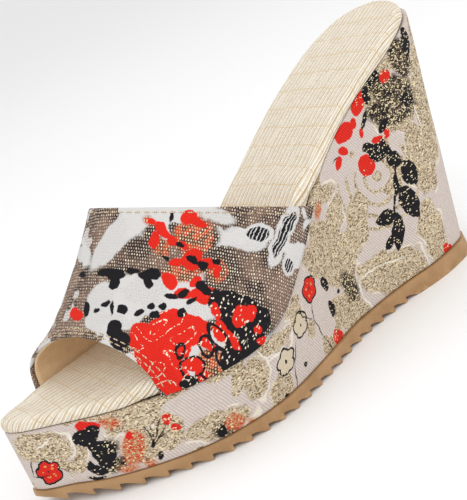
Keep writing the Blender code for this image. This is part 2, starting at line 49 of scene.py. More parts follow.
# %% [markdown]
# ## Camera, floor and light
# The shoe is seen from its outer side and a little above, with the heel tipped up. A long lens
# keeps the sole's lines nearly parallel. The camera is turned by three plain angles: how far
# round it stands, how far down it looks, and how far it rolls.

# %% Camera
CAMERA_PLACE = Vector((-188.3, -358.0, 179.5)) * MM
CAMERA_YAW = 0.4829
CAMERA_DIP = 0.3124
CAMERA_ROLL = -0.4138
CAMERA_LENS = 81.05
CAMERA_SHIFT = (-0.0077, 0.0014)


def aim_camera():
    """Stand the camera in front of the outer side, looking down on the vamp."""
    forward = Vector((
        math.sin(CAMERA_YAW) * math.cos(CAMERA_DIP),
        math.cos(CAMERA_YAW) * math.cos(CAMERA_DIP),
        -math.sin(CAMERA_DIP),
    ))
    level = Vector((math.cos(CAMERA_YAW), -math.sin(CAMERA_YAW), 0))
    upright = level.cross(forward)
    right = math.cos(CAMERA_ROLL) * level + math.sin(CAMERA_ROLL) * upright
    up = math.cos(CAMERA_ROLL) * upright - math.sin(CAMERA_ROLL) * level
    bpy.ops.object.camera_add(location=CAMERA_PLACE)
    camera = bpy.context.object
    camera.name = "camera"
    turn = Matrix((right, up, -forward)).transposed()
    camera.rotation_euler = turn.to_euler()
    camera.data.lens = CAMERA_LENS
    camera.data.sensor_width = 36
    camera.data.shift_x, camera.data.shift_y = CAMERA_SHIFT
    camera.data.clip_start = 0.01
    bpy.context.scene.camera = camera
    return camera


camera = aim_camera()
print("camera stands", round(camera.location.length, 3), "m from the middle of the sole")

# %% [markdown]
# The studio is a white sweep under broad soft lights. The main lamp hangs over the toe on the
# outer side, a weaker one hangs almost straight above, and the weakest stands beyond the heel.
# The world fills the rest. Standard colour handling keeps the reds of the print strong.

# %% Floor and lights
FLOOR_SIZE = 60.0
FLOOR_WHITE = (0.93, 0.93, 0.93, 1)
WORLD_STRENGTH = 0.86
# Each lamp's place and size in metres, and its power in watts.
LAMPS = {
    "lamp_main": ((-0.55, -0.75, 0.95), 0.7, 4.2),
    "lamp_top": ((0.15, 0.25, 1.2), 0.9, 2.0),
    "lamp_side": ((0.9, -0.6, 0.5), 0.6, 1.5),
}


def soft_lamp(name, place, size, power):
    """Hang a square soft lamp that points at the middle of the shoe."""
    bpy.ops.object.light_add(type="AREA", location=place)
    lamp = bpy.context.object
    lamp.name = name
    lamp.data.size = size
    lamp.data.energy = power
    aim = Vector((0, 0, 0.04)) - Vector(place)
    lamp.rotation_euler = aim.to_track_quat("-Z", "Y").to_euler()


bpy.ops.object.select_all(action="DESELECT")
bpy.ops.mesh.primitive_plane_add(size=FLOOR_SIZE)
floor = bpy.context.object
floor.name = "floor"
sweep = bpy.data.materials.new("white_sweep")
sweep.use_nodes = True
sweep_shader = sweep.node_tree.nodes["Principled BSDF"]
sweep_shader.inputs["Base Color"].default_value = FLOOR_WHITE
sweep_shader.inputs["Roughness"].default_value = 0.9
floor.data.materials.append(sweep)
for name, lamp_facts in LAMPS.items():
    soft_lamp(name, *lamp_facts)
world = bpy.data.worlds.new("studio")
bpy.context.scene.world = world
world.use_nodes = True
background = world.node_tree.nodes["Background"]
background.inputs["Color"].default_value = (1, 1, 1, 1)
background.inputs["Strength"].default_value = WORLD_STRENGTH
bpy.context.scene.view_settings.view_transform = "Standard"
print("studio: one floor and", len(LAMPS), "lamps")

# %% [markdown]
# ## A small language for materials
# Woven fabric is drawn with sums: ribs are sine waves, print shapes are distances from a point.
# Wiring those by hand takes pages, so one class wraps a socket. Python's own operators then add
# the Math nodes, and `add` makes any other node from its kind, its settings and its sockets.

# %% The wire class
class Wire:
    """A wire in a material, from one output socket."""

    def __init__(self, tree, socket=None):
        self.tree = tree
        self.socket = socket

    def add(self, kind, settings, sockets, output=0):
        """Add a node, give it its settings, then the values or wires of its sockets."""
        node = self.tree.nodes.new(kind)
        for name, value in settings.items():
            setattr(node, name, value)
        for name, value in sockets.items():
            if isinstance(value, Wire):
                self.tree.links.new(value.socket, node.inputs[name])
            else:
                node.inputs[name].default_value = value
        return Wire(self.tree, node.outputs[output])

    def math(self, operation, *values):
        """A Math node on this wire and any further values."""
        numbers = dict(enumerate((self, *values)))
        return self.add("ShaderNodeMath", {"operation": operation}, numbers)

    def __add__(self, other):
        return self.math("ADD", other)

    __radd__ = __add__

    def __mul__(self, other):
        return self.math("MULTIPLY", other)

    __rmul__ = __mul__

    def __sub__(self, other):
        return self.math("SUBTRACT", other)

    def __rsub__(self, other):
        return self.math("MULTIPLY_ADD", -1.0, other)

    def rise(self, low, high):
        """0 below low, 1 above high, and smooth between them."""
        return self.add(
            "ShaderNodeMapRange",
            {"interpolation_type": "SMOOTHSTEP", "clamp": False},
            {0: self, 1: low, 2: high},
        )

    def fall(self, low, high):
        """1 below low, 0 above high, and smooth between them."""
        return 1 - self.rise(low, high)

    def both(self, other):
        """The smaller value: for reaches, a shape that holds both shapes."""
        return self.math("MINIMUM", other)

    def either(self, other):
        """The larger value: for masks, where either one is 1."""
        return self.math("MAXIMUM", other)

    def blend(self, first, second):
        """Mix two colours, with this wire as the share of the second."""
        settings = {"data_type": "RGBA"}
        return self.add("ShaderNodeMix", settings, {0: self, 6: first, 7: second}, output=2)

    def moved(self, step):
        """A vector wire shifted by another vector."""
        return self.add("ShaderNodeVectorMath", {"operation": "ADD"}, {0: self, 1: step})

    def stretched(self, scale):
        """A vector wire scaled along each axis."""
        return self.add("ShaderNodeVectorMath", {"operation": "MULTIPLY"}, {0: self, 1: scale})


def ink(red, green, blue):
    """A colour given as it looks on a screen, turned into the light it stands for."""
    shares = [value / 255 for value in (red, green, blue)]
    linear = [s / 12.92 if s < 0.04045 else ((s + 0.055) / 1.055) ** 2.4 for s in shares]
    return (*linear, 1.0)


def new_material(name):
    """A node material; gives the material, a wire to start from, and its main shader."""
    material = bpy.data.materials.new(name)
    material.use_nodes = True
    shader = material.node_tree.nodes["Principled BSDF"]
    return material, Wire(material.node_tree), shader


def plug(wire, shader, socket):
    """Feed a socket of the main shader."""
    wire.tree.links.new(wire.socket, shader.inputs[socket])


def raise_surface(height, depth, shader):
    """Feed a height, in metres of relief, through a Bump node."""
    bump = height.add("ShaderNodeBump", {}, {"Height": height, "Strength": 1.0, "Distance": depth})
    plug(bump, shader, "Normal")


def flat_cloth(paint):
    """Where a point lies on the cloth as it was cut, in millimetres."""
    cut = paint.add("ShaderNodeUVMap", {"uv_map": "cut"}, {})
    return cut.stretched((1000, 1000, 1000))


print("material language ready")

# %% [markdown]
# ## Taking the smooth skin off a CAD solid
# The CAD solids are faceted and have thickness. For fabric, only the outer skin is needed, as a
# guide. So a solid is copied, its loose triangles are merged, and the faces that run smoothly on
# from one picked face are kept, as with "select linked flat faces" by hand.

# %% Skins and rims
def activate(piece):
    """Select one object alone and make it the active one."""
    bpy.ops.object.select_all(action="DESELECT")
    piece.select_set(True)
    bpy.context.view_layer.objects.active = piece


def merged_copy(node, name):
    """Copy a CAD node's mesh and merge its loose triangles."""
    piece = bpy.data.objects.new(name, nodes[node].data.copy())
    bpy.context.scene.collection.objects.link(piece)
    piece.data.materials.clear()
    activate(piece)
    bpy.ops.mesh.customdata_custom_splitnormals_clear()
    bpy.ops.object.mode_set(mode="EDIT")
    bpy.ops.mesh.select_mode(type="FACE")
    bpy.ops.mesh.select_all(action="SELECT")
    bpy.ops.mesh.remove_doubles(threshold=0.01 * MM)
    bpy.ops.mesh.select_all(action="DESELECT")
    bpy.ops.object.mode_set(mode="OBJECT")
    return piece


def skin_of(node, seed, bend=35):
    """The smooth sheet of faces, on a copy of a CAD node, that holds the face nearest the seed."""
    piece = merged_copy(node, "guide_" + node)
    nearest = min(piece.data.polygons, key=lambda face: (face.center - Vector(seed)).length)
    nearest.select = True
    bpy.ops.object.mode_set(mode="EDIT")
    bpy.ops.mesh.faces_select_linked_flat(sharpness=math.radians(bend))
    bpy.ops.mesh.select_all(action="INVERT")
    bpy.ops.mesh.delete(type="FACE")
    bpy.ops.mesh.select_all(action="SELECT")
    wide = math.radians(80)
    bpy.ops.mesh.tris_convert_to_quads(face_threshold=wide, shape_threshold=wide)
    bpy.ops.object.mode_set(mode="OBJECT")
    print(piece.name, "keeps", len(piece.data.polygons), "faces")
    return piece


def neighbours(edges):
    """Which points each point is joined to."""
    joined = {}
    for first, second in edges:
        joined.setdefault(first, []).append(second)
        joined.setdefault(second, []).append(first)
    return joined


def rims(piece):
    """The open edges of a sheet, as rings of point numbers in order."""
    uses = Counter(edge for face in piece.data.polygons for edge in face.edge_keys)
    joined = neighbours([edge for edge, count in uses.items() if count == 1])
    rings = []
    while joined:
        ring = [min(joined)]
        while True:
            onward = [point for point in joined.pop(ring[-1]) if point in joined]
            if not onward:
                break
            ring.append(onward[0])
        rings.append(ring)
    return rings


def turned_to_toe(piece, ring, start=None):
    """A ring of points from the toe tip, along the outer side to the heel, and back."""
    places = [piece.data.vertices[index].co.copy() for index in ring]
    first = min(range(len(ring)), key=lambda index: places[index].x) if start is None else start
    ordered = places[first:] + places[:first]
    if ordered[6].y > ordered[-6].y:
        ordered = [ordered[0]] + ordered[:0:-1]
    return ordered


def smooth_point(points, place, closed=True):
    """The point at a fractional number along a smooth curve through the points."""
    count = len(points)
    index = math.floor(place) if closed else min(math.floor(place), count - 2)
    share = place - index
    if closed:
        before, start, end, after = [points[(index + step) % count] for step in (-1, 0, 1, 2)]
    else:
        start, end = points[index], points[index + 1]
        before = points[index - 1] if index > 0 else 2 * start - end
        after = points[index + 2] if index + 2 < count else 2 * end - start
    return 0.5 * (
        2 * start
        + (end - before) * share
        + (2 * before - 5 * start + 4 * end - after) * share**2
        + (3 * start - before - 3 * end + after) * share**3
    )


# %% [markdown]
# ## A sheet of cloth from a grid
# Every fabric piece here starts as one grid, and a function says where each of its points goes
# in space and where it lay on the flat cloth. That keeps the weave running true, which a remesh
# or a shrinkwrap would not, and the flat places become the UV map that the prints use.

# %% Grids for cloth
def unevenness(point, waves):
    """How far cloth stands off its form: noise waves, each with a fineness and a height."""
    return sum(noise.noise(point * fineness) * height for fineness, height in waves)


def cloth_grid(name, columns, rows, place, cut=None):
    """Add a grid and move its points. place and cut get shares from 0 to 1 both ways."""
    bpy.ops.object.select_all(action="DESELECT")
    bpy.ops.mesh.primitive_grid_add(x_subdivisions=columns, y_subdivisions=rows, size=1)
    piece = bpy.context.object
    piece.name = name
    piece.data.name = name
    shares = [(point.co.x + 0.5, point.co.y + 0.5) for point in piece.data.vertices]
    for point, share in zip(piece.data.vertices, shares):
        point.co = place(*share)
    piece.data.uv_layers[0].name = "cut"
    if cut:
        flat = [cut(*share) for share in shares]
        for loop, corner in zip(piece.data.loops, piece.data.uv_layers["cut"].data):
            corner.uv = flat[loop.vertex_index]
    activate(piece)
    bpy.ops.object.shade_smooth()
    print(name, "has", len(piece.data.polygons), "faces")
    return piece


def thicken(piece, thickness):
    """Give a sheet its thickness, inwards, and apply it."""
    activate(piece)
    bpy.ops.object.modifier_add(type="SOLIDIFY")
    solid = piece.modifiers[-1]
    solid.thickness = thickness
    solid.offset = -1
    bpy.ops.object.modifier_apply(modifier=solid.name)


def area_of(piece):
    """The area of all faces, in square metres."""
    return sum(face.area for face in piece.data.polygons)


def discard(piece):
    """Take away a guide that is no longer needed."""
    bpy.data.objects.remove(piece)


# %% [markdown]
# ## The wedge's cover
# One strip of printed brocade is stretched round the cork, glued, turned in at its top and
# bottom edges, and lapped over itself at the waist on the inner side. The strip is ruled between
# the two rims of the CAD wall, with its edges rolled in and a little unevenness where real
# cloth never lies dead flat.

# %% Wedge cover shape
wall_guide = skin_of("wedge_cover", (0, -45 * MM, 20 * MM))
wall_rings = sorted(rims(wall_guide), key=lambda ring: -wall_guide.data.vertices[ring[0]].co.z)


def matching_start(piece, upper, lower):
    """Where the lower ring starts: the point joined by an edge to the upper ring's toe tip."""
    tip = min(upper, key=lambda index: piece.data.vertices[index].co.x)
    joined = neighbours([tuple(edge.vertices) for edge in piece.data.edges])
    below = [index for index in joined[tip] if index in lower]
    points = piece.data.vertices
    nearest = min(below, key=lambda index: (points[index].co - points[tip].co).length)
    return lower.index(nearest)


top_ring = turned_to_toe(wall_guide, wall_rings[0])
bottom_ring = turned_to_toe(
    wall_guide, wall_rings[1], matching_start(wall_guide, wall_rings[0], wall_rings[1])
)
RING = len(top_ring)
LAP = 0.75
LAP_LIFT = 0.55 * MM
LAP_RAMP = 0.2
COVER_THICKNESS = 0.6 * MM
WALL_WAVES = ((55, 0.16), (210, 0.05))
WALL_STEPS = 3 * RING
seam_start = min(
    range(RING // 2, RING), key=lambda index: abs(top_ring[index].x - 12 * MM)
) - RING
wall_profile = [(0, 2.4 * MM), (0, 0.6 * MM), (0.004, 0.12 * MM), (0.018, 0)]
wall_profile += [(step / 14, 0) for step in range(1, 14)]
wall_profile += [(0.982, 0), (0.996, 0.12 * MM), (1, 0.6 * MM), (1, 2.4 * MM)]


def inward(ring, place):
    """The level direction towards the inside of a ring."""
    along = smooth_point(ring, place + 0.25) - smooth_point(ring, place - 0.25)
    return Vector((-along.y, along.x, 0)).normalized()


def wall_length(place):
    """Distance round the wall from the toe tip, along its middle."""
    whole, rest = divmod(place, 1)
    whole = int(whole)
    return wall_marks[whole] + rest * (wall_marks[whole + 1] - wall_marks[whole])


middle_ring = [(high + low) / 2 for high, low in zip(top_ring, bottom_ring)]
wall_marks = {0: 0.0}
for step in range(RING):
    reach = (middle_ring[(step + 1) % RING] - middle_ring[step]).length
    wall_marks[step + 1] = wall_marks[step] + reach
for step in range(0, -RING, -1):
    reach = (middle_ring[step % RING] - middle_ring[(step - 1) % RING]).length
    wall_marks[step - 1] = wall_marks[step] - reach


def wall_place(across, along):
    """A point of the wedge cover."""
    place = seam_start + across * (RING + LAP)
    share, inset = wall_profile[round(along * (len(wall_profile) - 1))]
    low = smooth_point(bottom_ring, place)
    high = smooth_point(top_ring, place)
    point = low.lerp(high, share)
    ripple = unevenness(point, WALL_WAVES) * MM
    past_seam = across * (RING + LAP) - RING
    lap = LAP_LIFT * min(1, max(0, past_seam / LAP_RAMP + 0.6))
    sides = inward(bottom_ring, place).lerp(inward(top_ring, place), share)
    return point + sides * (inset - ripple * math.sin(math.pi * share) - lap)


def wall_cut(across, along):
    """Where that point lay on the cut strip."""
    place = seam_start + across * (RING + LAP)
    share, inset = wall_profile[round(along * (len(wall_profile) - 1))]
    low = smooth_point(bottom_ring, place).z
    high = smooth_point(top_ring, place).z
    turned = inset if share > 0.5 else -inset
    return wall_length(place), low + share * (high - low) + turned


wedge_fabric = cloth_grid(
    "wedge_fabric", WALL_STEPS + 2, len(wall_profile) - 1, wall_place, wall_cut
)
thicken(wedge_fabric, COVER_THICKNESS)
discard(wall_guide)
print("the wall is", round(wall_marks[RING], 4), "m round")

# %% [markdown]
# ## The footbed's wrap
# The footbed is board and thin foam wrapped in a ribbed, straw-like weave that is drawn round
# the edge and glued under. Seen from outside, it is a soft roll five millimetres high all round
# and a gently padded top. It is one grid laid from the outer side to the inner one. Each
# crosswise line goes up round the roll, over the top and down the other roll.

# %% Footbed shape
bed_guide = skin_of("footbed_cover", (50 * MM, 0, 120 * MM))
bed_ring = turned_to_toe(bed_guide, rims(bed_guide)[0])
HALF_RING = RING // 2
# How far inside the rim, and how far above it, the roll passes, from its glued edge to the top.
ROLL = [
    (1.9, -4.72), (0.7, -4.86), (0.1, -4.62), (-0.28, -4.0), (-0.42, -3.1),
    (-0.36, -2.2), (-0.08, -1.3), (0.45, -0.62), (1.2, -0.16), (2.3, 0.02),
]
ROLL_DEPTH = 4.86
SEAM_GAP = 0.25 * MM
TOP_LINES = 22
WRAP_THICKNESS = 0.5 * MM
section_lines = len(ROLL) + TOP_LINES + len(ROLL)


def roll_length(index):
    """Distance along the roll from where it joins the top, down to one of its points."""
    steps = zip(ROLL[index:], ROLL[index + 1:])
    return sum(math.dist(first, second) for first, second in steps) * MM


def bed_line(across, along):
    """Ring place, roll point and share across the top for a grid point."""
    line = round(along * (section_lines - 1))
    place = HALF_RING * across
    if line < len(ROLL):
        return place, line, 0.0
    if line >= len(ROLL) + TOP_LINES:
        return RING - place, section_lines - 1 - line, 1.0
    return place, len(ROLL) - 1, (line - len(ROLL) + 1) / (TOP_LINES + 1)


def bed_rim_point(place, index):
    """A point of the roll."""
    inset, rise = ROLL[index]
    rim = smooth_point(bed_ring, place % RING)
    depth = rim.z - smooth_point(top_ring, place % RING).z - SEAM_GAP
    if rise < 0:
        rise *= depth / MM / ROLL_DEPTH
    return rim + inward(bed_ring, place % RING) * inset * MM + Vector((0, 0, rise * MM))


def bed_place(across, along):
    """A point of the footbed's wrap."""
    place, index, share = bed_line(across, along)
    point = bed_rim_point(place, index)
    if 0 < share < 1:
        point = point.lerp(bed_rim_point(RING - place, index), share)
        dish = math.sin(math.pi * share)
        point.z += (0.25 * dish + 0.14 * dish * noise.noise(point * 60)) * MM
    return point


def slope_length(x):
    """Distance along the footbed's top from the toe to a place along the shoe."""
    spine = [smooth_point(bed_ring, step) for step in range(HALF_RING + 1)]
    total = 0.0
    for first, second in zip(spine, spine[1:]):
        share = min(1.0, max(0.0, (x - first.x) / max(second.x - first.x, 1e-6)))
        total += share * math.hypot(second.x - first.x, second.z - first.z)
    return total


def bed_cut(across, along):
    """Where that point lay on the cut weave: lengthwise, then crosswise."""
    place, index, share = bed_line(across, along)
    point = bed_rim_point(place, len(ROLL) - 1)
    if 0 < share < 1:
        point = point.lerp(bed_rim_point(RING - place, len(ROLL) - 1), share)
    outward = inward(bed_ring, place % RING) * -roll_length(index)
    return slope_length(point.x) + outward.x, point.y + outward.y


footbed_weave = cloth_grid(
    "footbed_weave", 3 * HALF_RING, section_lines - 1, bed_place, bed_cut
)
discard(bed_guide)
bed_area = area_of(footbed_weave)
activate(footbed_weave)
bpy.ops.object.mode_set(mode="EDIT")
bpy.ops.mesh.select_all(action="SELECT")
bpy.ops.mesh.remove_doubles(threshold=0.02 * MM)
bpy.ops.object.mode_set(mode="OBJECT")
thicken(footbed_weave, WRAP_THICKNESS)
print("footbed wrap covers", round(bed_area, 5), "square metres")

# %% [markdown]
# ## The vamp
# The vamp is one broad band of a heavier brocade, lasted over a foot shape, with both free edges
# folded back and topstitched. Its guide is the outer skin of the CAD vamp, read as rows from the
# front edge to the back edge. The grid follows it smoothly and curls under at both edges.

# %% Vamp shape
vamp_guide = skin_of("vamp_outer", (-50 * MM, 0, 95 * MM))


def sharpest(piece, ring, count):
    """The points of a rim where it turns most."""
    places = [piece.data.vertices[index].co for index in ring]
    size = len(ring)

    def turn(at):
        before = places[at] - places[at - 1]
        return before.angle(places[(at + 1) % size] - places[at])

    return sorted(range(size), key=turn)[-count:]


def rows_of(piece, corner):
    """Read a four-cornered sheet as rows of points, starting at the corner given."""
    points = piece.data.vertices
    joined = neighbours([tuple(edge.vertices) for edge in piece.data.edges])
    ring = rims(piece)[0]
    corners = [ring[at] for at in sharpest(piece, ring, 4)]
    start = min(corners, key=lambda index: (points[index].co - corner).length)
    ring = ring[ring.index(start):] + ring[:ring.index(start)]
    if points[ring[5]].co.x > points[ring[-5]].co.x:
        ring = [ring[0]] + ring[:0:-1]
    last = min(ring.index(index) for index in corners if index != start)
    rows = [ring[:last + 1]]
    used = set(rows[0])
    side = ring[:0:-1]
    while len(used) < len(points):
        near = {new for index in rows[-1] for new in joined[index]} - used
        row = [side[len(rows) - 1]]
        while len(row) < len(near):
            row += [new for new in joined[row[-1]] if new in near and new not in row][:1]
        rows.append(row)
        used.update(row)
    return [[points[index].co.copy() for index in row] for row in rows]


vamp_rows = rows_of(vamp_guide, Vector((-64, -30, 30)) * MM)
ROWS, COLUMNS = len(vamp_rows), len(vamp_rows[0])
discard(vamp_guide)
print("vamp guide:", ROWS, "rows of", COLUMNS)

# The section from front to back: share of the way, then how far out past the edge and how far in.
FOLD = [(-2.6, 1.1), (-0.6, 1.12), (0.1, 1.1), (0.42, 0.82), (0.5, 0.5), (0.36, 0.18)]
VAMP_STEPS = 52
VAMP_LINES = 132
VAMP_THICKNESS = 0.4 * MM
VAMP_WAVES = ((40, 0.35), (120, 0.08))
vamp_section = [(0, out, down) for out, down in FOLD]
vamp_section += [(step / VAMP_STEPS, 0, 0) for step in range(VAMP_STEPS + 1)]
vamp_section += [(1, out, down) for out, down in reversed(FOLD)]


def vamp_surface(share, across):
    """A point on the vamp's outer face: front to back, then outer to inner side."""
    place = across * (COLUMNS - 1)
    column = [smooth_point(row, place, closed=False) for row in vamp_rows]
    return smooth_point(column, share * (ROWS - 1), closed=False)


def vamp_axes(share, across):
    """The directions towards the heel, towards the inner side, and outwards."""
    small = 0.01
    back = vamp_surface(min(1, share + small), across) - vamp_surface(max(0, share - small), across)
    side = vamp_surface(share, min(1, across + small)) - vamp_surface(share, max(0, across - small))
    return back.normalized(), side.normalized(), back.cross(side).normalized()


def vamp_place(along, across):
    """A point of the vamp's brocade, with its folded edges."""
    share, out, down = vamp_section[round(along * (len(vamp_section) - 1))]
    point = vamp_surface(share, across)
    back, _, outward = vamp_axes(share, across)
    past = -back if share < 0.5 else back
    calm = math.sin(math.pi * across) * math.sin(math.pi * share)
    ripple = unevenness(point, VAMP_WAVES) * calm
    return point + past * out * MM + outward * (ripple - down) * MM


vamp_fabric = cloth_grid("vamp_fabric", len(vamp_section) - 1, VAMP_LINES, vamp_place)

# %% [markdown]
# Cloth is printed flat, so the vamp's UV map is its flat pattern. Blender's unwrap finds that
# pattern. It is then scaled to true size and turned so that one axis runs towards the heel and
# the other towards the inner side, with its origin at the top of the vamp.

# %% Flat pattern of a curved sheet
def flatten(piece, rows):
    """Unwrap a grid sheet to its true flat size, in metres."""
    activate(piece)
    bpy.ops.object.mode_set(mode="EDIT")
    bpy.ops.mesh.select_all(action="SELECT")
    bpy.ops.uv.unwrap(method="ANGLE_BASED", margin=0)
    bpy.ops.object.mode_set(mode="OBJECT")
    corners = piece.data.uv_layers["cut"].data
    flat = {loop.vertex_index: corners[loop.index].uv.copy() for loop in piece.data.loops}
    columns = len(piece.data.vertices) // (rows + 1)
    shadow = 0.0
    for face in piece.data.polygons:
        spots = [flat[index] for index in face.vertices]
        pairs = zip(spots, spots[1:] + spots[:1])
        shadow += 0.5 * abs(sum(a.x * b.y - a.y * b.x for a, b in pairs))
    scale = math.sqrt(area_of(piece) / shadow)
    middle = rows // 2 * columns
    front, back = flat[middle], flat[middle + columns - 1]
    centre = flat[middle + columns // 2]
    turn = Matrix.Rotation(-math.atan2(back.y - front.y, back.x - front.x), 2)
    for corner in corners:
        corner.uv = turn @ (corner.uv - centre) * scale
    wide = [corner.uv.x for corner in corners]
    long = [corner.uv.y for corner in corners]
    return max(wide) - min(wide), max(long) - min(long)


vamp_flat = flatten(vamp_fabric, VAMP_LINES)
thicken(vamp_fabric, VAMP_THICKNESS)

# %% [markdown]
# The lining is a thin soft sheet glued inside the vamp. Its edges lie just inside the folded
# brocade, which leaves a fine step all round both openings.

# %% Lining
LINING_DEPTH = 1.55
LINING_INSET = 0.012
LINING_LINES = 110
LINING_THICKNESS = 0.6 * MM


def lining_place(along, across):
    """A point of the lining."""
    share = LINING_INSET + along * (1 - 2 * LINING_INSET)
    _, _, outward = vamp_axes(share, across)
    return vamp_surface(share, across) - outward * LINING_DEPTH * MM


lining = cloth_grid("vamp_soft_lining", 40, LINING_LINES, lining_place)
lining_flat = flatten(lining, LINING_LINES)
thicken(lining, LINING_THICKNESS)
print("lining cut flat:", [round(size, 4) for size in lining_flat])

# %% [markdown]
# ## Topstitching
# Two rows of thread hold the front fold and one row the back fold. One stitch is modelled, a
# small spindle with flat ends, and each copy is turned to lie along the edge, half sunk.

# %% Stitches
STITCH = 2.3 * MM
STITCH_GAP = 0.6 * MM
STITCH_SIZE = (STITCH, 0.5 * MM, 0.34 * MM)
STITCH_LIFT = 0.05 * MM
# Each row's share of the way from the vamp's front edge to its back edge.
STITCH_ROWS = {"stitches_front": 0.022, "stitches_front_inner": 0.052, "stitches_back": 0.972}


def one_stitch():
    """Model one stitch, lying along x."""
    bpy.ops.object.select_all(action="DESELECT")
    bpy.ops.mesh.primitive_uv_sphere_add(segments=8, ring_count=6, radius=0.5)
    stitch = bpy.context.object
    bpy.ops.object.mode_set(mode="EDIT")
    bpy.ops.mesh.select_all(action="SELECT")
    bpy.ops.transform.rotate(value=math.pi / 2, orient_axis="Y", center_override=(0, 0, 0))
    bpy.ops.transform.resize(value=STITCH_SIZE, center_override=(0, 0, 0))
    bpy.ops.object.mode_set(mode="OBJECT")
    bpy.ops.object.shade_smooth()
    return stitch


def stitch_row(name, stitch, share):
    """Copy the stitch along the vamp at a share of the way from its front to its back edge."""
    steps = [step / 400 for step in range(12, 389)]
    track = [vamp_surface(share, step) for step in steps]
    copies = []
    travelled = 0.0
    for index in range(1, len(track)):
        travelled += (track[index] - track[index - 1]).length
        if travelled < STITCH + STITCH_GAP:
            continue
        travelled = 0.0
        _, side, outward = vamp_axes(share, steps[index])
        copy = bpy.data.objects.new(name, stitch.data.copy())
        bpy.context.scene.collection.objects.link(copy)
        turn = Matrix((side, outward.cross(side), outward)).transposed().to_4x4()
        lift = Matrix.Translation(track[index] + outward * STITCH_LIFT)
        copy.data.transform(lift @ turn)
        copies.append(copy)
    bpy.ops.object.select_all(action="DESELECT")
    for copy in copies:
        copy.select_set(True)
    bpy.context.view_layer.objects.active = copies[0]
    bpy.ops.object.join()
    row = bpy.context.object
    row.name = name
    print(name, "has", len(copies), "stitches")
    return row


stitch = one_stitch()
stitches = [stitch_row(name, stitch, share) for name, share in STITCH_ROWS.items()]
discard(stitch)

# %% [markdown]
# ## The outsole
# The rubber sole is moulded in one piece, with a shallow step round its top and saw teeth
# beneath. The CAD shape is right, but moulded rubber has no knife edges, so a merged copy gets a
# small bevel along every sharp edge and smooth shading between them.

# %% Outsole shape
MOULD_ROUNDING = 0.35 * MM
outsole = merged_copy("outsole", "rubber_outsole")
activate(outsole)
bpy.ops.object.modifier_add(type="BEVEL")
bevel = outsole.modifiers[-1]
bevel.width = MOULD_ROUNDING
bevel.segments = 2
bevel.limit_method = "ANGLE"
bevel.angle_limit = math.radians(38)
bpy.ops.object.modifier_apply(modifier=bevel.name)
bpy.ops.object.shade_smooth_by_angle(angle=math.radians(32))
print("outsole has", len(outsole.data.polygons), "faces")

# %% [markdown]
# ## Printed brocade
# Both outer fabrics are woven with a print: flat red and black shapes, areas of fine net, and
# patches flecked with metallic thread. In a material every shape can be drawn as an oval, from
# the distance to its middle, and a flower is a few ovals joined. The places are millimetres on
# the cloth as it was cut, with its repeat, so the print bends with the cloth.

# %% Drawing on cloth
WAIT = 1e-7


def axes(cloth):
    """The two coordinates of a vector wire."""
    split = cloth.add("ShaderNodeSeparateXYZ", {}, {0: cloth})
    return split, Wire(cloth.tree, split.socket.node.outputs[1])


def seen_from(cloth, along, up, long, short, turn):
    """Coordinates from a shape's middle along its own axes, which are 1 at its ends."""
    return cloth.add("ShaderNodeMapping", {"vector_type": "TEXTURE"}, {
        "Vector": cloth,
        "Location": (along, up, 0),
        "Rotation": (0, 0, math.radians(turn)),
        "Scale": (long, short, 1),
    })


def oval(cloth, along, up, long, short, turn):
    """Millimetres outwards from the rim of an oval, negative inside it."""
    local = seen_from(cloth, along, up, long, short, turn)
    reach = local.add("ShaderNodeVectorMath", {"operation": "LENGTH"}, {0: local}, "Value")
    return reach.math("MULTIPLY_ADD", short, -short)


def joined_ovals(cloth, ovals):
    """Millimetres outwards from a shape made of several ovals.

    A renderer can hold only a few unfinished values for one material. So each oval's place waits
    for the oval before it, by adding a ten-millionth of its result, and they are worked in turn.
    """
    nearest = oval(cloth, *ovals[0])
    for further in ovals[1:]:
        settings = {"operation": "MULTIPLY_ADD"}
        turn = {0: nearest, 1: (WAIT, WAIT, 0), 2: cloth}
        spot = cloth.add("ShaderNodeVectorMath", settings, turn)
        nearest = nearest.both(oval(spot, *further))
    return nearest


def leaf(cloth, along, up, long, short, turn):
    """Millimetres outwards from a leaf, which is pointed at both ends."""
    lengthwise, sideways = axes(seen_from(cloth, along, up, long, short, turn))
    return (lengthwise * lengthwise + sideways.math("ABSOLUTE") - 1) * short


def blossom(along, up, size):
    """Five round petals about a middle, as ovals."""
    petals = []
    for number in range(5):
        angle = math.tau * number / 5 + 0.5
        place = (along + size * 0.55 * math.cos(angle), up + size * 0.55 * math.sin(angle))
        petals.append((*place, size * 0.5, size * 0.45, 0))
    return petals


def strokes(width, places):
    """Long thin ovals, given by their places, half lengths and turns."""
    return [(along, up, reach, width, turn) for along, up, reach, turn in places]


def inside(reach, soft=0.14):
    """1 inside a shape and 0 outside it."""
    return reach.fall(-soft, soft)


def outline(reach, offset, width):
    """1 on a line that follows a shape's rim."""
    return (reach - offset).math("ABSOLUTE").fall(width * 0.6, width)


def noise_on(cloth, size, detail=2.0, output=0):
    """Cloudy noise with lumps about size millimetres across."""
    sockets = {"Vector": cloth, "Scale": 1 / size, "Detail": detail}
    return cloth.add("ShaderNodeTexNoise", {"noise_dimensions": "2D"}, sockets, output)


def wobbled(cloth, size, strength):
    """The cloth's coordinates pushed about by noise, so that drawn edges look hand made."""
    shake = noise_on(cloth, size, 1.0, output=1).moved((-0.5, -0.5, -0.5))
    return shake.add("ShaderNodeVectorMath", {"operation": "MULTIPLY_ADD"}, {
        0: shake, 1: (strength, strength, 0), 2: cloth,
    })


def repeated_across(cloth, low, high):
    """Repeat the print across the cloth, as along a roll."""
    along, across = axes(cloth)
    return cloth.add("ShaderNodeCombineXYZ", {}, {0: along, 1: across.math("WRAP", high, low)})


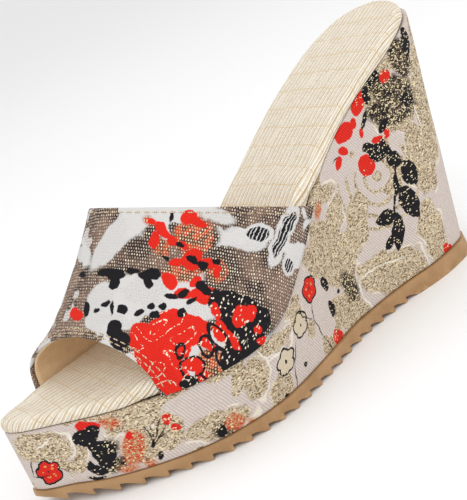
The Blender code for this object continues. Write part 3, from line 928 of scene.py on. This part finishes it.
def mirrored_along(cloth, low, high):
    """Turn the print back on itself along the strip, so that both sides of a shoe match."""
    along, across = axes(cloth)
    folded = (along - low).math("PINGPONG", high - low) + low
    return cloth.add("ShaderNodeCombineXYZ", {}, {0: folded, 1: across})


def turned(cloth, degrees, scale=(1, 1, 1)):
    """The cloth's coordinates turned and scaled."""
    return cloth.add("ShaderNodeMapping", {}, {
        "Vector": cloth, "Rotation": (0, 0, math.radians(degrees)), "Scale": scale,
    })


def flecks(cloth, size, degrees, stretch=1.7):
    """A random number on every little thread float."""
    grid = turned(cloth, degrees, (1 / size / stretch, 1 / size, 1))
    cells = grid.add(
        "ShaderNodeTexVoronoi", {"voronoi_dimensions": "2D"}, {"Vector": grid, "Scale": 1.0}, 1
    )
    return axes(cells)[0]


def net_dots(cloth, pitch, row, degrees):
    """A brick-laid net of dots: how far from the nearest dot's middle, and its random number."""
    across, up = axes(turned(cloth, degrees, (1 / pitch, 1 / row, 1)))
    line = up.math("FLOOR")
    shifted = across + line.math("FLOORED_MODULO", 2.0) * 0.5
    column = shifted.math("FLOOR")
    side = shifted - column - 0.5
    rise = up - line - 0.5
    middle = cloth.add("ShaderNodeCombineXYZ", {}, {0: column, 1: line})
    chance = middle.add("ShaderNodeTexWhiteNoise", {"noise_dimensions": "2D"}, {"Vector": middle})
    return (side * side + rise * rise).math("SQRT"), chance


# %% [markdown]
# ### The vamp's print
# Off-white cloth carries clouds of brown net, a large red flower at the outer foot with black
# and red ones behind it, a chain of red petals up the middle, black petals and seeds, and a
# striped leaf near the back edge. Each entry is along, across, half length, half width and turn.

# %% Vamp print shapes
BIG_FLOWER = [
    (-23, -39, 11, 10, 0), (-14, -47, 6, 5, 75), (-31, -44, 7, 6, 60), (-21, -31, 6, 5, 30),
    (-12, -40, 6, 4, -80), (-33, -49, 5, 3.5, 20), (-35, -42, 7, 1.6, 60),
]
RED_CHAIN = [
    (24, -37, 3, 2.5, -70), (23, -40, 3.5, 1.5, 85), (18, -29, 3.5, 2, 55), (14, -27, 3, 1.8, 10),
    (20, -25, 1.5, 1.2, 0), (15, -33, 2.5, 1.5, 50), (10, -41, 4, 3.5, -55),
    (8, -36, 2.5, 1.5, -75), (14, -37, 2, 1.4, 60), (1, -35, 3, 2.5, 60), (-2, -41, 3.5, 2, -80),
    (3, -44, 2.5, 1.5, -45), (-1, -48, 4.5, 3.5, -80), (10, -47, 2.5, 1.4, 75),
    (8, -50, 2.5, 1.3, 10), (-16, -1, 3.5, 2.5, 75),
]
RED_ON_BLACK = [
    (-6, -61, 3.5, 2.5, 0), (-4, -64, 2.5, 1.8, 15), (-8, -68, 1.5, 1.4, 35),
    (-6, -53, 3.5, 1.3, 25), (-13, -59, 6, 1.6, 55), (-12, -56, 3.5, 2.5, 35),
    (-25, -51, 3.5, 3, -80), (-17, -52, 2, 2, 0), (-28, -55, 2.5, 2, -80),
    (-18, -55, 2, 1.4, -80), (-11, -71, 2, 1.4, -45),
]
BLACK_FLOWER = [
    (-2, -57, 5.5, 3.5, 90), (-3, -62, 4.5, 3.5, 60), (-5, -67, 4, 4, 0), (-12, -67, 4.5, 4, 90),
    (-10, -61, 6.5, 1.6, 65), (-16, -65, 4, 2.5, -80), (-20, -62, 3.5, 3, 35),
    (-32, -52, 2.5, 1.9, -75), (-2, -52, 3, 1.8, 15),
]
BLACK_PETALS = [
    (0, -14, 5.5, 1.9, 90), (-3, -16, 3, 2.5, 0), (2, -28, 4, 2, -75), (-1, -28, 2, 1.4, 15),
    (2, -22, 2.5, 1.1, -80), (-20, -20, 4, 3, 35), (-23, -23, 4.5, 3, 70), (1, -47, 3, 1.9, 65),
    (10, -41, 2.5, 1.2, 75), (14, -36, 1.5, 1.1, 70), (9, -45, 2, 1.4, 85), (23, -31, 2, 0.8, 10),
    (11, -49, 1.5, 0.9, -75), (9, -32, 1.5, 0.6, 70),
]
SEEDS = [
    (-11, -14, 2, 1.1, -70), (-14, -11, 1.5, 0.9, -85), (-12, -17, 2.5, 0.6, 10),
    (-9, -31, 1.5, 1.2, -80), (-12, -27, 2, 1.3, -60), (-8, -35, 1.5, 1.4, -60),
    (-12, -33, 2, 1.5, -85), (-4, -37, 2.5, 1.1, -90), (-2, -41, 2.5, 1.3, -45),
    (-4, -44, 2, 0.9, -50), (-9, -42, 2, 1.8, 35), (-14, -6, 3, 1.6, 0), (-1, 0, 2.5, 1.2, 80),
    (-12, -21, 2, 1.6, -85), (-26, -23, 3, 0.7, 70),
]
STRIPED_LEAF = [
    (24, -61, 3.5, 2.5, -70), (31, -71, 4, 2, -15), (23, -69, 6, 1.8, -10), (16, -74, 2.5, 2, 5),
]
SWIRLS = [
    (-26, -51, 4, 4, 0), (-18, -53, 3, 2.4, 30), (-14, -56, 5, 2, 60), (-22, -45, 2.4, 1.4, 20),
    (-30, -56, 3, 1.6, 60), (-20, -59, 3.4, 1.8, 40),
]
PLAIN_AREAS = [
    (-6, -26, 16, 7.5, -80), (-11, -18, 12, 8.5, 80), (-7, -46, 7, 4, 90), (-18, -13, 7, 4.5, 75),
    (13, -13, 15, 4.5, -35), (22, -23, 5.5, 3, -50), (19, -21, 7.5, 3, -40), (21, -57, 8, 4, 90),
    (27, -47, 5.5, 2.5, 85), (7, 4, 5.5, 3, 65), (25, -39, 5, 2.5, -75),
]
DARK_NET = [
    (8, -59, 13, 12, -65), (12, -64, 11, 11, 0), (31, -61, 12, 4, -75), (2, -72, 12, 5.5, -10),
    (7, -17, 14, 7, -80), (-3, -6, 7.5, 5.5, 75), (18, -42, 7, 6.5, -25), (14, -26, 5.5, 3.5, 10),
]
PALE_NET = [
    (16, -4, 10, 8, 65), (-20, 7, 11, 8, -80), (-11, -27, 11, 4, -75), (-9, -1, 6.5, 4.5, 55),
]
GOLD_NET = [
    (-24, -57, 7, 5, 30), (18, -40, 7.5, 6.5, -10), (5, -39, 6.5, 3, -75), (20, -24, 2, 1.8, 40),
    (12, -30, 3, 3, 25), (8, -50, 4, 3.5, 5),
]
VAMP_REPEAT = (-81, 12)
WHITE_CLOTH = ink(219, 217, 214)
BLACK_DYE = ink(22, 20, 25)
GOLD_THREAD = ink(205, 168, 104)


def weave_relief(cloth, pitch, degrees):
    """Plain weave: two sets of threads that pass over and under each other."""
    across, up = axes(turned(cloth, degrees, (math.tau / pitch, math.tau / pitch, 1)))
    return across.math("SINE") * up.math("SINE")


def vamp_material():
    """Printed brocade with nets and metallic flecks."""
    material, paint, shader = new_material("vamp_brocade")
    flat = flat_cloth(paint)
    cloth = wobbled(wobbled(repeated_across(flat, *VAMP_REPEAT), 5, 2.2), 0.9, 0.55)
    clouds = noise_on(flat, 14, 3.0)
    dot, chance = net_dots(wobbled(flat, 3, 0.7), 1.25, 0.8, -28)
    dot_mask = dot.fall(0.2, 0.4)
    glint = chance.rise(0.86, 0.88) * dot_mask

    dark_area = inside(joined_ovals(cloth, DARK_NET).both(noise_on(cloth, 16, 2.0) * -90 + 41), 1.1)
    pale_area = inside(joined_ovals(cloth, PALE_NET), 0.8)
    plain_area = inside(joined_ovals(cloth, PLAIN_AREAS), 0.5)
    gold_area = inside(joined_ovals(cloth, GOLD_NET), 0.9)

    thread = weave_relief(flat, 0.72, 18)
    # Painted shade: the white cloth darkens where the weave dips.
    white = (thread * 0.5 + 0.5).blend(ink(203, 200, 198), WHITE_CLOTH)
    pale = dot_mask.blend(white, ink(166, 140, 122))
    ground = clouds.rise(0.42, 0.62).blend(ink(44, 33, 31), ink(124, 98, 84))
    dots = chance.blend(ink(222, 206, 188), ink(128, 102, 86))
    dark = dot_mask.blend(ground, dots)
    ember = noise_on(flat, 2.2, 2.0).rise(0.46, 0.56).blend(ink(92, 58, 44), ink(196, 72, 40))
    gold = dot_mask.blend(ember, chance.blend(ink(240, 214, 178), ink(206, 140, 92)))

    colour = pale_area.blend(white, pale)
    colour = dark_area.blend(colour, dark)
    colour = plain_area.blend(colour, white)
    colour = gold_area.blend(colour, gold)

    flower = joined_ovals(cloth, BIG_FLOWER)
    chain = joined_ovals(cloth, RED_CHAIN)
    on_black = joined_ovals(cloth, RED_ON_BLACK)
    black_flower = joined_ovals(cloth, BLACK_FLOWER) - 0.7
    black = black_flower.both(joined_ovals(cloth, BLACK_PETALS)).both(joined_ovals(cloth, SEEDS))
    # Painted shade: the red thread darkens where the weave dips.
    red_thread = thread.rise(-1, 1).blend(ink(206, 22, 12), ink(240, 48, 30))
    colour = inside(flower.both(chain)).blend(colour, red_thread)
    veins = noise_on(cloth, 11, 0.5).math("PINGPONG", 0.11).fall(0.006, 0.013)
    sparkle = flecks(flat, 0.42, 35)
    vein_mask = veins * inside(flower) * sparkle.rise(0.5, 0.56)
    colour = vein_mask.blend(colour, GOLD_THREAD)
    colour = inside(black).blend(colour, BLACK_DYE)
    colour = inside(on_black).blend(colour, red_thread)
    swirls = outline(joined_ovals(cloth, SWIRLS), 0, 0.5)
    colour = swirls.blend(colour, BLACK_DYE)
    flecked = inside(black_flower.both(on_black), 1.2) * sparkle.rise(0.93, 0.94)
    colour = flecked.blend(colour, ink(222, 196, 150))
    striped = joined_ovals(cloth, STRIPED_LEAF)
    stripe = axes(turned(cloth, 12))[1].math("PINGPONG", 0.55).rise(0.1, 0.2)
    halo = inside(striped - 1.2, 0.3)
    colour = halo.blend(colour, white)
    colour = (inside(striped) * stripe).blend(colour, BLACK_DYE)

    printed = inside(flower.both(chain).both(black).both(on_black))
    bare = plain_area.either(halo).either(printed)
    metal = (glint * dark_area * (1 - bare)).either(vein_mask).either(flecked)
    plug(metal.blend(colour, ink(240, 228, 204)), shader, "Base Color")
    plug(metal * 0.7, shader, "Metallic")
    plug(0.82 - metal * 0.5, shader, "Roughness")
    relief = thread * 0.35 + dot_mask * dark_area * 0.9 + sparkle * 0.25
    raise_surface(relief, 0.14 * MM, shader)
    shader.inputs["Specular IOR Level"].default_value = 0.22
    return material


# %% [markdown]
# ### The wedge's print
# The wedge's brocade is greyer, with a diagonal rib. Large patches are flecked with gold, thin
# pale lines run between them, and red blossoms, black twigs and outlined flowers are scattered
# over it. Places are millimetres from the toe tip along the outer side, and above the ground.

# %% Wedge print shapes
GOLD_PATCHES = [
    (151, 37, 19, 11, -50), (152, 59, 12, 3, 0), (212, 48, 15, 8.5, -80), (208, 23, 9, 7.5, 75),
    (183, 15, 19, 8.5, -20), (204, 72, 14, 8, -30), (145, 38, 17, 6.5, -25),
    (157, 12, 11, 5, -35), (103, 27, 9, 4, -10), (92, 20, 8, 5.5, -80), (76, 11, 13, 5, -10),
    (117, 31, 7.5, 2.5, -25), (12, 25, 11, 6.5, -10), (24, 17, 6.5, 2.5, 65),
    (45, 25, 9.5, 4, -10), (58, 16, 7.5, 6, -80), (49, 14, 8, 6, -35), (160, 48, 9, 5, 60),
    (224, 66, 24, 8, 84), (231, 88, 12, 6, 85),
]
DENSE_PATCHES = [
    (215, 88, 9, 6, -65), (207, 77, 12, 7, -25), (204, 72, 14, 6, -15), (199, 84, 6, 4.5, -30),
    (158, 21, 7.5, 4, -65), (38, 11, 5.5, 3, 10), (37, 18, 3.5, 3, -30), (78, 8, 5, 3, -35),
]
RUST_PATCHES = [
    (45, 15, 6.5, 4.5, 90), (42, 8, 3.5, 1.7, -20), (82, 9, 4.5, 3, -40), (89, 6, 2.5, 1, -35),
    (50, 7, 2.5, 1.4, -25), (38, 27, 4, 2, -20), (150, 55, 3, 2, 40),
]
TWIG = [
    (212, 92, 2, 1.7, -30), (198, 87, 3.5, 2.5, 30), (193, 82, 3.5, 1.9, 90),
    (189, 74, 3.5, 1.2, 55), (213, 72, 4, 2.5, -25), (191, 60, 4.5, 3.5, -30),
    (188, 63, 4, 2, -25), (198, 54, 4, 3, -40), (194, 41, 14, 0.7, 68), (196, 45, 4, 1.6, 75),
    (197, 68, 3, 2, 35), (196, 59, 5, 1.7, -75),
]
TWIG_LEAVES = [
    (204, 46, 6.5, 4.2, -66), (200, 36, 9, 4.6, -70), (187, 35, 6.5, 3.2, -8),
    (191, 27, 7.5, 3.2, 72), (185.5, 25.5, 4, 2.2, 25), (221, 92, 6, 3.4, 88),
]
TOE_BLOSSOM = [
    (28, 24, 4.5, 3.5, -20), (31, 25, 3, 3, 0), (34, 17, 5, 4, -25), (32, 19, 4, 3, -45),
    (34, 13, 3.5, 2.5, -20), (30, 11, 4.5, 1.6, -30), (28, 13, 2, 1.1, -60), (29, 8, 4, 0.8, -10),
    (54, 8.5, 1.5, 1.1, -85), (77, 8, 2.5, 1.8, -75), (142, 30, 3.5, 2.2, -60),
    (143, 20, 3.5, 2.2, -80), (150, 23, 1, 0.7, -25), (118, 11, 1, 0.9, -20),
    (105, 6, 1, 0.6, 10), (52, 14, 1.5, 0.8, 80),
]
RED_PETALS = [
    (188, 81, 5, 3, 40), (177, 74, 5.5, 3.5, 5), (183, 75, 2, 1.5, 70), (186, 70, 2, 1.3, 70),
    (174, 68, 3, 1.6, -35), (170, 65, 2.5, 1.8, 40), (193, 64, 3.5, 1.7, -25),
    (198, 65, 2, 1.4, 75), (184, 58, 4.5, 4, -35), (204, 85, 3, 2.5, 5),
    (214, 8.5, 2.5, 1.8, -25), (217, 8, 1.4, 1, -25), (30, 28, 4.5, 1.9, -15),
    (58, 21, 2, 1.6, -75), (61, 17, 2, 1.3, -45), (44, 20, 1.5, 1.3, 0), (143, 7.5, 5, 3, -55),
]
OUTLINED_RED = blossom(10.5, 15, 4.6) + blossom(130, 34, 4.6)
OUTLINED = blossom(107, 18.2, 4.8) + blossom(119.5, 25.5, 4.8)
STEMS = strokes(0.3, [
    (129, 26, 3.5, 80), (131, 18, 5.5, -65), (135, 10, 4.5, -60), (113, 18, 3.5, 70),
    (111, 10, 4.5, 80), (123, 27, 6.5, -40), (4.5, 18, 3, 65), (6, 14, 3, -10),
    (51, 18, 3.5, -75), (52, 18, 3.5, 90), (54, 18, 4, 65), (55, 16, 3, 50), (55, 15, 3, 20),
    (169, 67, 2, 5),
])
PALE_LINES = strokes(0.35, [
    (171, 20, 6.5, 0), (184, 18, 6.5, -15), (164, 17, 3.5, 85), (166, 10, 4, -55),
    (96, 26, 3.5, -50), (23, 25, 3, 80), (13, 26, 3.5, 25), (217, 64, 4.5, -80),
    (102, 23, 3.5, 5),
])
ARCS = (188, 52, 7, 6, -35)
ARC_STEP = 4.6
WEDGE_REPEAT = (-8, 236)


def wedge_material():
    """Ribbed brocade with gold-flecked patches and a scattered print."""
    material, paint, shader = new_material("wedge_brocade")
    flat = flat_cloth(paint)
    cloth = wobbled(wobbled(mirrored_along(flat, *WEDGE_REPEAT), 5, 1.8), 0.8, 0.5)
    _, up = axes(turned(flat, 52))
    rib = (up * (math.tau / 0.95) + noise_on(flat, 2.5) * 3.0).math("SINE")
    slub = noise_on(turned(flat, 52, (0.12, 1, 1)), 0.5, 2.0)
    # Painted shade: the greige cloth darkens in the troughs of the diagonal rib.
    plain = (rib * 0.5 + 0.5).blend(ink(190, 175, 167), ink(215, 205, 198))
    plain = slub.rise(0.52, 0.72).blend(plain, ink(196, 183, 175))

    speck = flecks(flat, 0.36, 62)
    khaki = speck.rise(0.2, 0.25).blend(ink(122, 101, 78), ink(186, 167, 138))
    khaki = speck.rise(0.62, 0.66).blend(khaki, ink(208, 194, 172))
    khaki = speck.rise(0.88, 0.9).blend(khaki, ink(238, 224, 184))
    dense = speck.rise(0.5, 0.54).blend(ink(30, 26, 28), ink(112, 95, 74))
    dense = speck.rise(0.8, 0.84).blend(dense, ink(224, 208, 168))
    rust = speck.rise(0.35, 0.4).blend(ink(196, 60, 32), ink(190, 140, 100))

    patches = joined_ovals(wobbled(cloth, 8, 6.0), GOLD_PATCHES)
    far = noise_on(cloth, 20, 1.5) * -120 + 72
    patches = patches.both(far)
    rings = oval(cloth, *ARCS)
    arcs = rings.math("PINGPONG", ARC_STEP / 2).fall(0.55, 0.9) * rings.fall(14, 15)
    arcs = arcs * axes(cloth)[1].fall(56, 60)
    gold_mask = inside(patches, 0.7).either(arcs)
    colour = gold_mask.blend(plain, khaki)
    broken = noise_on(flat, 13, 1.0).rise(0.5, 0.6)
    colour = (outline(patches, 0.6, 0.4) * broken).blend(colour, ink(226, 216, 200))
    dense_mask = inside(joined_ovals(cloth, DENSE_PATCHES), 1.2)
    colour = dense_mask.blend(colour, dense)
    colour = inside(joined_ovals(cloth, RUST_PATCHES), 1.0).blend(colour, rust)
    colour = inside(joined_ovals(cloth, PALE_LINES)).blend(colour, ink(232, 226, 216))

    small_red = joined_ovals(cloth, OUTLINED_RED)
    red = joined_ovals(cloth, RED_PETALS)
    open_flowers = joined_ovals(cloth, OUTLINED)
    black = joined_ovals(cloth, TWIG).both(joined_ovals(cloth, TOE_BLOSSOM))
    for place in TWIG_LEAVES:
        black = black.both(leaf(cloth, *place))
    colour = inside(open_flowers).blend(colour, ink(206, 192, 168))
    red_mask = inside(red.both(small_red))
    # Painted shade: the red print darkens in the troughs of the diagonal rib.
    colour = red_mask.blend(colour, rib.rise(-1, 1).blend(ink(196, 26, 16), ink(226, 46, 32)))
    colour = (inside(small_red + 1.5) * speck.rise(0.5, 0.6)).blend(colour, GOLD_THREAD)
    colour = inside(black).blend(colour, BLACK_DYE)
    lines = outline(small_red, 0.25, 0.42).either(outline(open_flowers, 0.1, 0.42))
    lines = lines.either(inside(joined_ovals(cloth, STEMS), 0.2))
    colour = lines.blend(colour, BLACK_DYE)
    glint = speck.rise(0.9, 0.92) * gold_mask.either(dense_mask)
    glint = glint.either(inside(black, 0.5) * speck.rise(0.93, 0.95))
    plug(glint.blend(colour, ink(238, 222, 184)), shader, "Base Color")
    plug(glint * 0.75, shader, "Metallic")
    plug(0.84 - glint * 0.5, shader, "Roughness")
    relief = rib * 0.4 + slub * 0.3 + speck * gold_mask.either(dense_mask) * 0.8
    raise_surface(relief, 0.12 * MM, shader)
    shader.inputs["Specular IOR Level"].default_value = 0.22
    return material


# %% [markdown]
# ## Footbed weave
# The footbed's cloth imitates straw: glossy cream ribs run lengthwise with a thin tan thread in
# every other groove, and loose ochre threads cross them in wavy lines about 9 mm apart. Ribs and
# threads follow the cut cloth, so they turn down over the rolled edge as one fabric.

# %% Footbed material
RIB_PITCH = 1.25
CROSS_PITCH = 9.0


def footbed_material():
    """Straw-like ribbed weave."""
    material, paint, shader = new_material("straw_weave")
    flat = flat_cloth(paint)
    cloth = wobbled(flat, 16, 1.0)
    along, across = axes(cloth)
    rib = (across * (math.tau / RIB_PITCH)).math("SINE") * 0.5 + 0.5
    groove = across.math("PINGPONG", RIB_PITCH).fall(0.1, 0.3)
    strand = noise_on(turned(flat, 0, (0.10, 1, 1)), 0.45, 2.0)
    twist = (along * (math.tau / 0.9) + across * 5.0).math("SINE") * 0.5 + 0.5
    patchy = noise_on(turned(flat, 0, (0.3, 1, 1)), 3.0, 2.0)
    crossing = along + noise_on(turned(flat, 0, (0.3, 1, 1)), 9, 2.0) * 2.4
    cross_line = crossing.math("PINGPONG", CROSS_PITCH / 2).fall(0.1, 0.4) * patchy.rise(0.25, 0.45)
    faint = (crossing + 2.0).math("PINGPONG", CROSS_PITCH / 6).fall(0.1, 0.4)
    # Painted shade: the ribs' colour darkens to tan in the grooves between them, following the rib
    # height.
    colour = rib.blend(ink(219, 203, 174), ink(250, 244, 232))
    colour = (strand.rise(0.5, 0.75) * 0.6).blend(colour, ink(232, 222, 204))
    colour = (groove * patchy.rise(0.2, 0.5)).blend(colour, ink(196, 168, 126))
    colour = (faint * patchy.rise(0.45, 0.6) * 0.5).blend(colour, ink(216, 192, 150))
    colour = (cross_line * 0.75).blend(colour, ink(222, 194, 146))
    plug(colour, shader, "Base Color")
    plug(0.62 - rib * 0.16, shader, "Roughness")
    relief = rib + twist * 0.25 + strand * 0.5 - cross_line * 0.3
    raise_surface(relief, 0.3 * MM, shader)
    shader.inputs["Sheen Weight"].default_value = 0.15
    return material


# %% [markdown]
# ## Rubber, lining and thread
# The outsole is honey-coloured crepe-like rubber that lets a little light in. It has a fine
# moulded mottle, and a painted highlight that lightens it in patches near the ground. The lining
# is soft tan leathercloth with a pebbled grain. The thread is waxed, with a twist.

# %% Plainer finishes
def placed(paint):
    """Where a point is on the shoe, in millimetres."""
    spot = paint.add("ShaderNodeTexCoord", {}, {}, 3)
    return spot.stretched((1000, 1000, 1000))


def lumps(spot, size, detail=3.0):
    """Cloudy noise in space, with lumps about size millimetres across."""
    return spot.add("ShaderNodeTexNoise", {}, {"Vector": spot, "Scale": 1 / size, "Detail": detail})


def rubber_material():
    """Honey-coloured moulded rubber."""
    material, paint, shader = new_material("honey_rubber")
    spot = placed(paint)
    mottle = lumps(spot, 9)
    grain = lumps(spot, 0.5, 2.0)
    height = Wire(paint.tree, axes(spot)[0].socket.node.outputs[2])
    # Painted highlight: the rubber is lightened in patches over the lowest three millimetres of the
    # teeth, where they catch the light; roughness rises there too.
    low_teeth_highlight = height.fall(0.2, 3.0) * lumps(spot, 2.5).rise(0.45, 0.7)
    colour = mottle.rise(0.3, 0.7).blend(ink(158, 120, 78), ink(174, 136, 93))
    colour = (low_teeth_highlight * 0.5).blend(colour, ink(206, 172, 126))
    plug(colour, shader, "Base Color")
    plug(0.42 + grain * 0.2 + low_teeth_highlight * 0.2, shader, "Roughness")
    raise_surface(grain * 0.6 + mottle, 0.1 * MM, shader)
    shader.inputs["Subsurface Weight"].default_value = 0.18
    shader.inputs["Subsurface Radius"].default_value = (0.004, 0.002, 0.001)
    return material


def grained_material(name, dark, light, grain_size, roughness, relief):
    """A leathercloth, board, cork, foam or felt: two tones and a grain."""
    material, paint, shader = new_material(name)
    spot = placed(paint)
    tone = lumps(spot, grain_size * 6)
    grain = spot.add(
        "ShaderNodeTexVoronoi", {}, {"Vector": spot, "Scale": 1 / grain_size}
    )
    shade = tone * 0.7 + grain * 0.3
    plug(shade.rise(0.25, 0.7).blend(dark, light), shader, "Base Color")
    plug(roughness + grain * 0.12, shader, "Roughness")
    raise_surface(grain, relief * MM, shader)
    return material


def steel_material():
    """Drawn steel with fine lengthwise lines."""
    material, paint, shader = new_material("tempered_steel")
    lines = lumps(placed(paint).stretched((0.05, 1, 1)), 0.2)
    plug(lines.blend(ink(120, 122, 126), ink(168, 170, 174)), shader, "Base Color")
    plug(0.3 + lines * 0.2, shader, "Roughness")
    raise_surface(lines, 0.02 * MM, shader)
    shader.inputs["Metallic"].default_value = 1.0
    return material


def thread_material():
    """Waxed sewing thread."""
    material, paint, shader = new_material("sewing_thread")
    spot = placed(paint)
    across, _ = axes(turned(spot, 40))
    strand = (across * 9).math("SINE") * 0.5 + 0.5
    # Painted shade: the thread darkens in the grooves of its twist.
    plug(strand.blend(ink(150, 116, 84), ink(226, 208, 176)), shader, "Base Color")
    plug(0.5 + strand * 0.1, shader, "Roughness")
    raise_surface(strand, 0.05 * MM, shader)
    return material


def dress(piece, material):
    """Give a piece its one material."""
    piece.data.materials.clear()
    piece.data.materials.append(material)


dress(vamp_fabric, vamp_material())
dress(wedge_fabric, wedge_material())
dress(footbed_weave, footbed_material())
dress(outsole, rubber_material())
leathercloth = grained_material(
    "soft_lining", ink(222, 188, 146), ink(232, 202, 162), 0.5, 0.5, 0.05
)
dress(lining, leathercloth)
thread = thread_material()
for row in stitches:
    dress(row, thread)

# %% [markdown]
# The pieces inside the shoe keep their CAD shapes. They still get the finish of what they are:
# agglomerated cork, fibreboard, foam, fusible felt and steel.

# %% Hidden pieces
cork = grained_material("agglomerated_cork", ink(128, 84, 50), ink(192, 146, 98), 2.2, 0.75, 0.3)
board = grained_material("fibre_board", ink(150, 128, 100), ink(186, 166, 136), 0.6, 0.8, 0.05)
foam = grained_material("soft_foam", ink(226, 214, 190), ink(244, 236, 216), 0.7, 0.85, 0.1)
felt = grained_material("fusible_felt", ink(214, 210, 202), ink(238, 236, 230), 0.4, 0.85, 0.05)
steel = steel_material()
INSIDE = {
    "wedge_core": cork, "lasting_filler": cork, "insole_board": board, "footbed_foam": foam,
    "vamp_interlining": felt, "steel_shank": steel, "shank_rivet_front": steel,
    "shank_rivet_rear": steel,
}
INSIDE.update({f"heel_nail_{number}": steel for number in range(1, 6)})
for node, material in INSIDE.items():
    for holder in nodes[node].material_slots:
        holder.material = material
print("finishes given to", len(INSIDE), "hidden pieces")

# %% [markdown]
# ## Riding on the body
# Every new piece rides on the one body of the shoe and stands for the CAD solid that it covers,
# which is hidden.

# %% Ride and replace
for piece, node, finish in (
    (wedge_fabric, "wedge_cover", "wedge_fabric"),
    (vamp_fabric, "vamp_outer", "vamp_fabric"),
    (lining, "vamp_lining", "lining"),
    (footbed_weave, "footbed_cover", "footbed_weave"),
    (outsole, "outsole", "outsole_rubber"),
):
    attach(piece, "root")
    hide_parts(node)
for row in stitches:
    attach(row, "root")
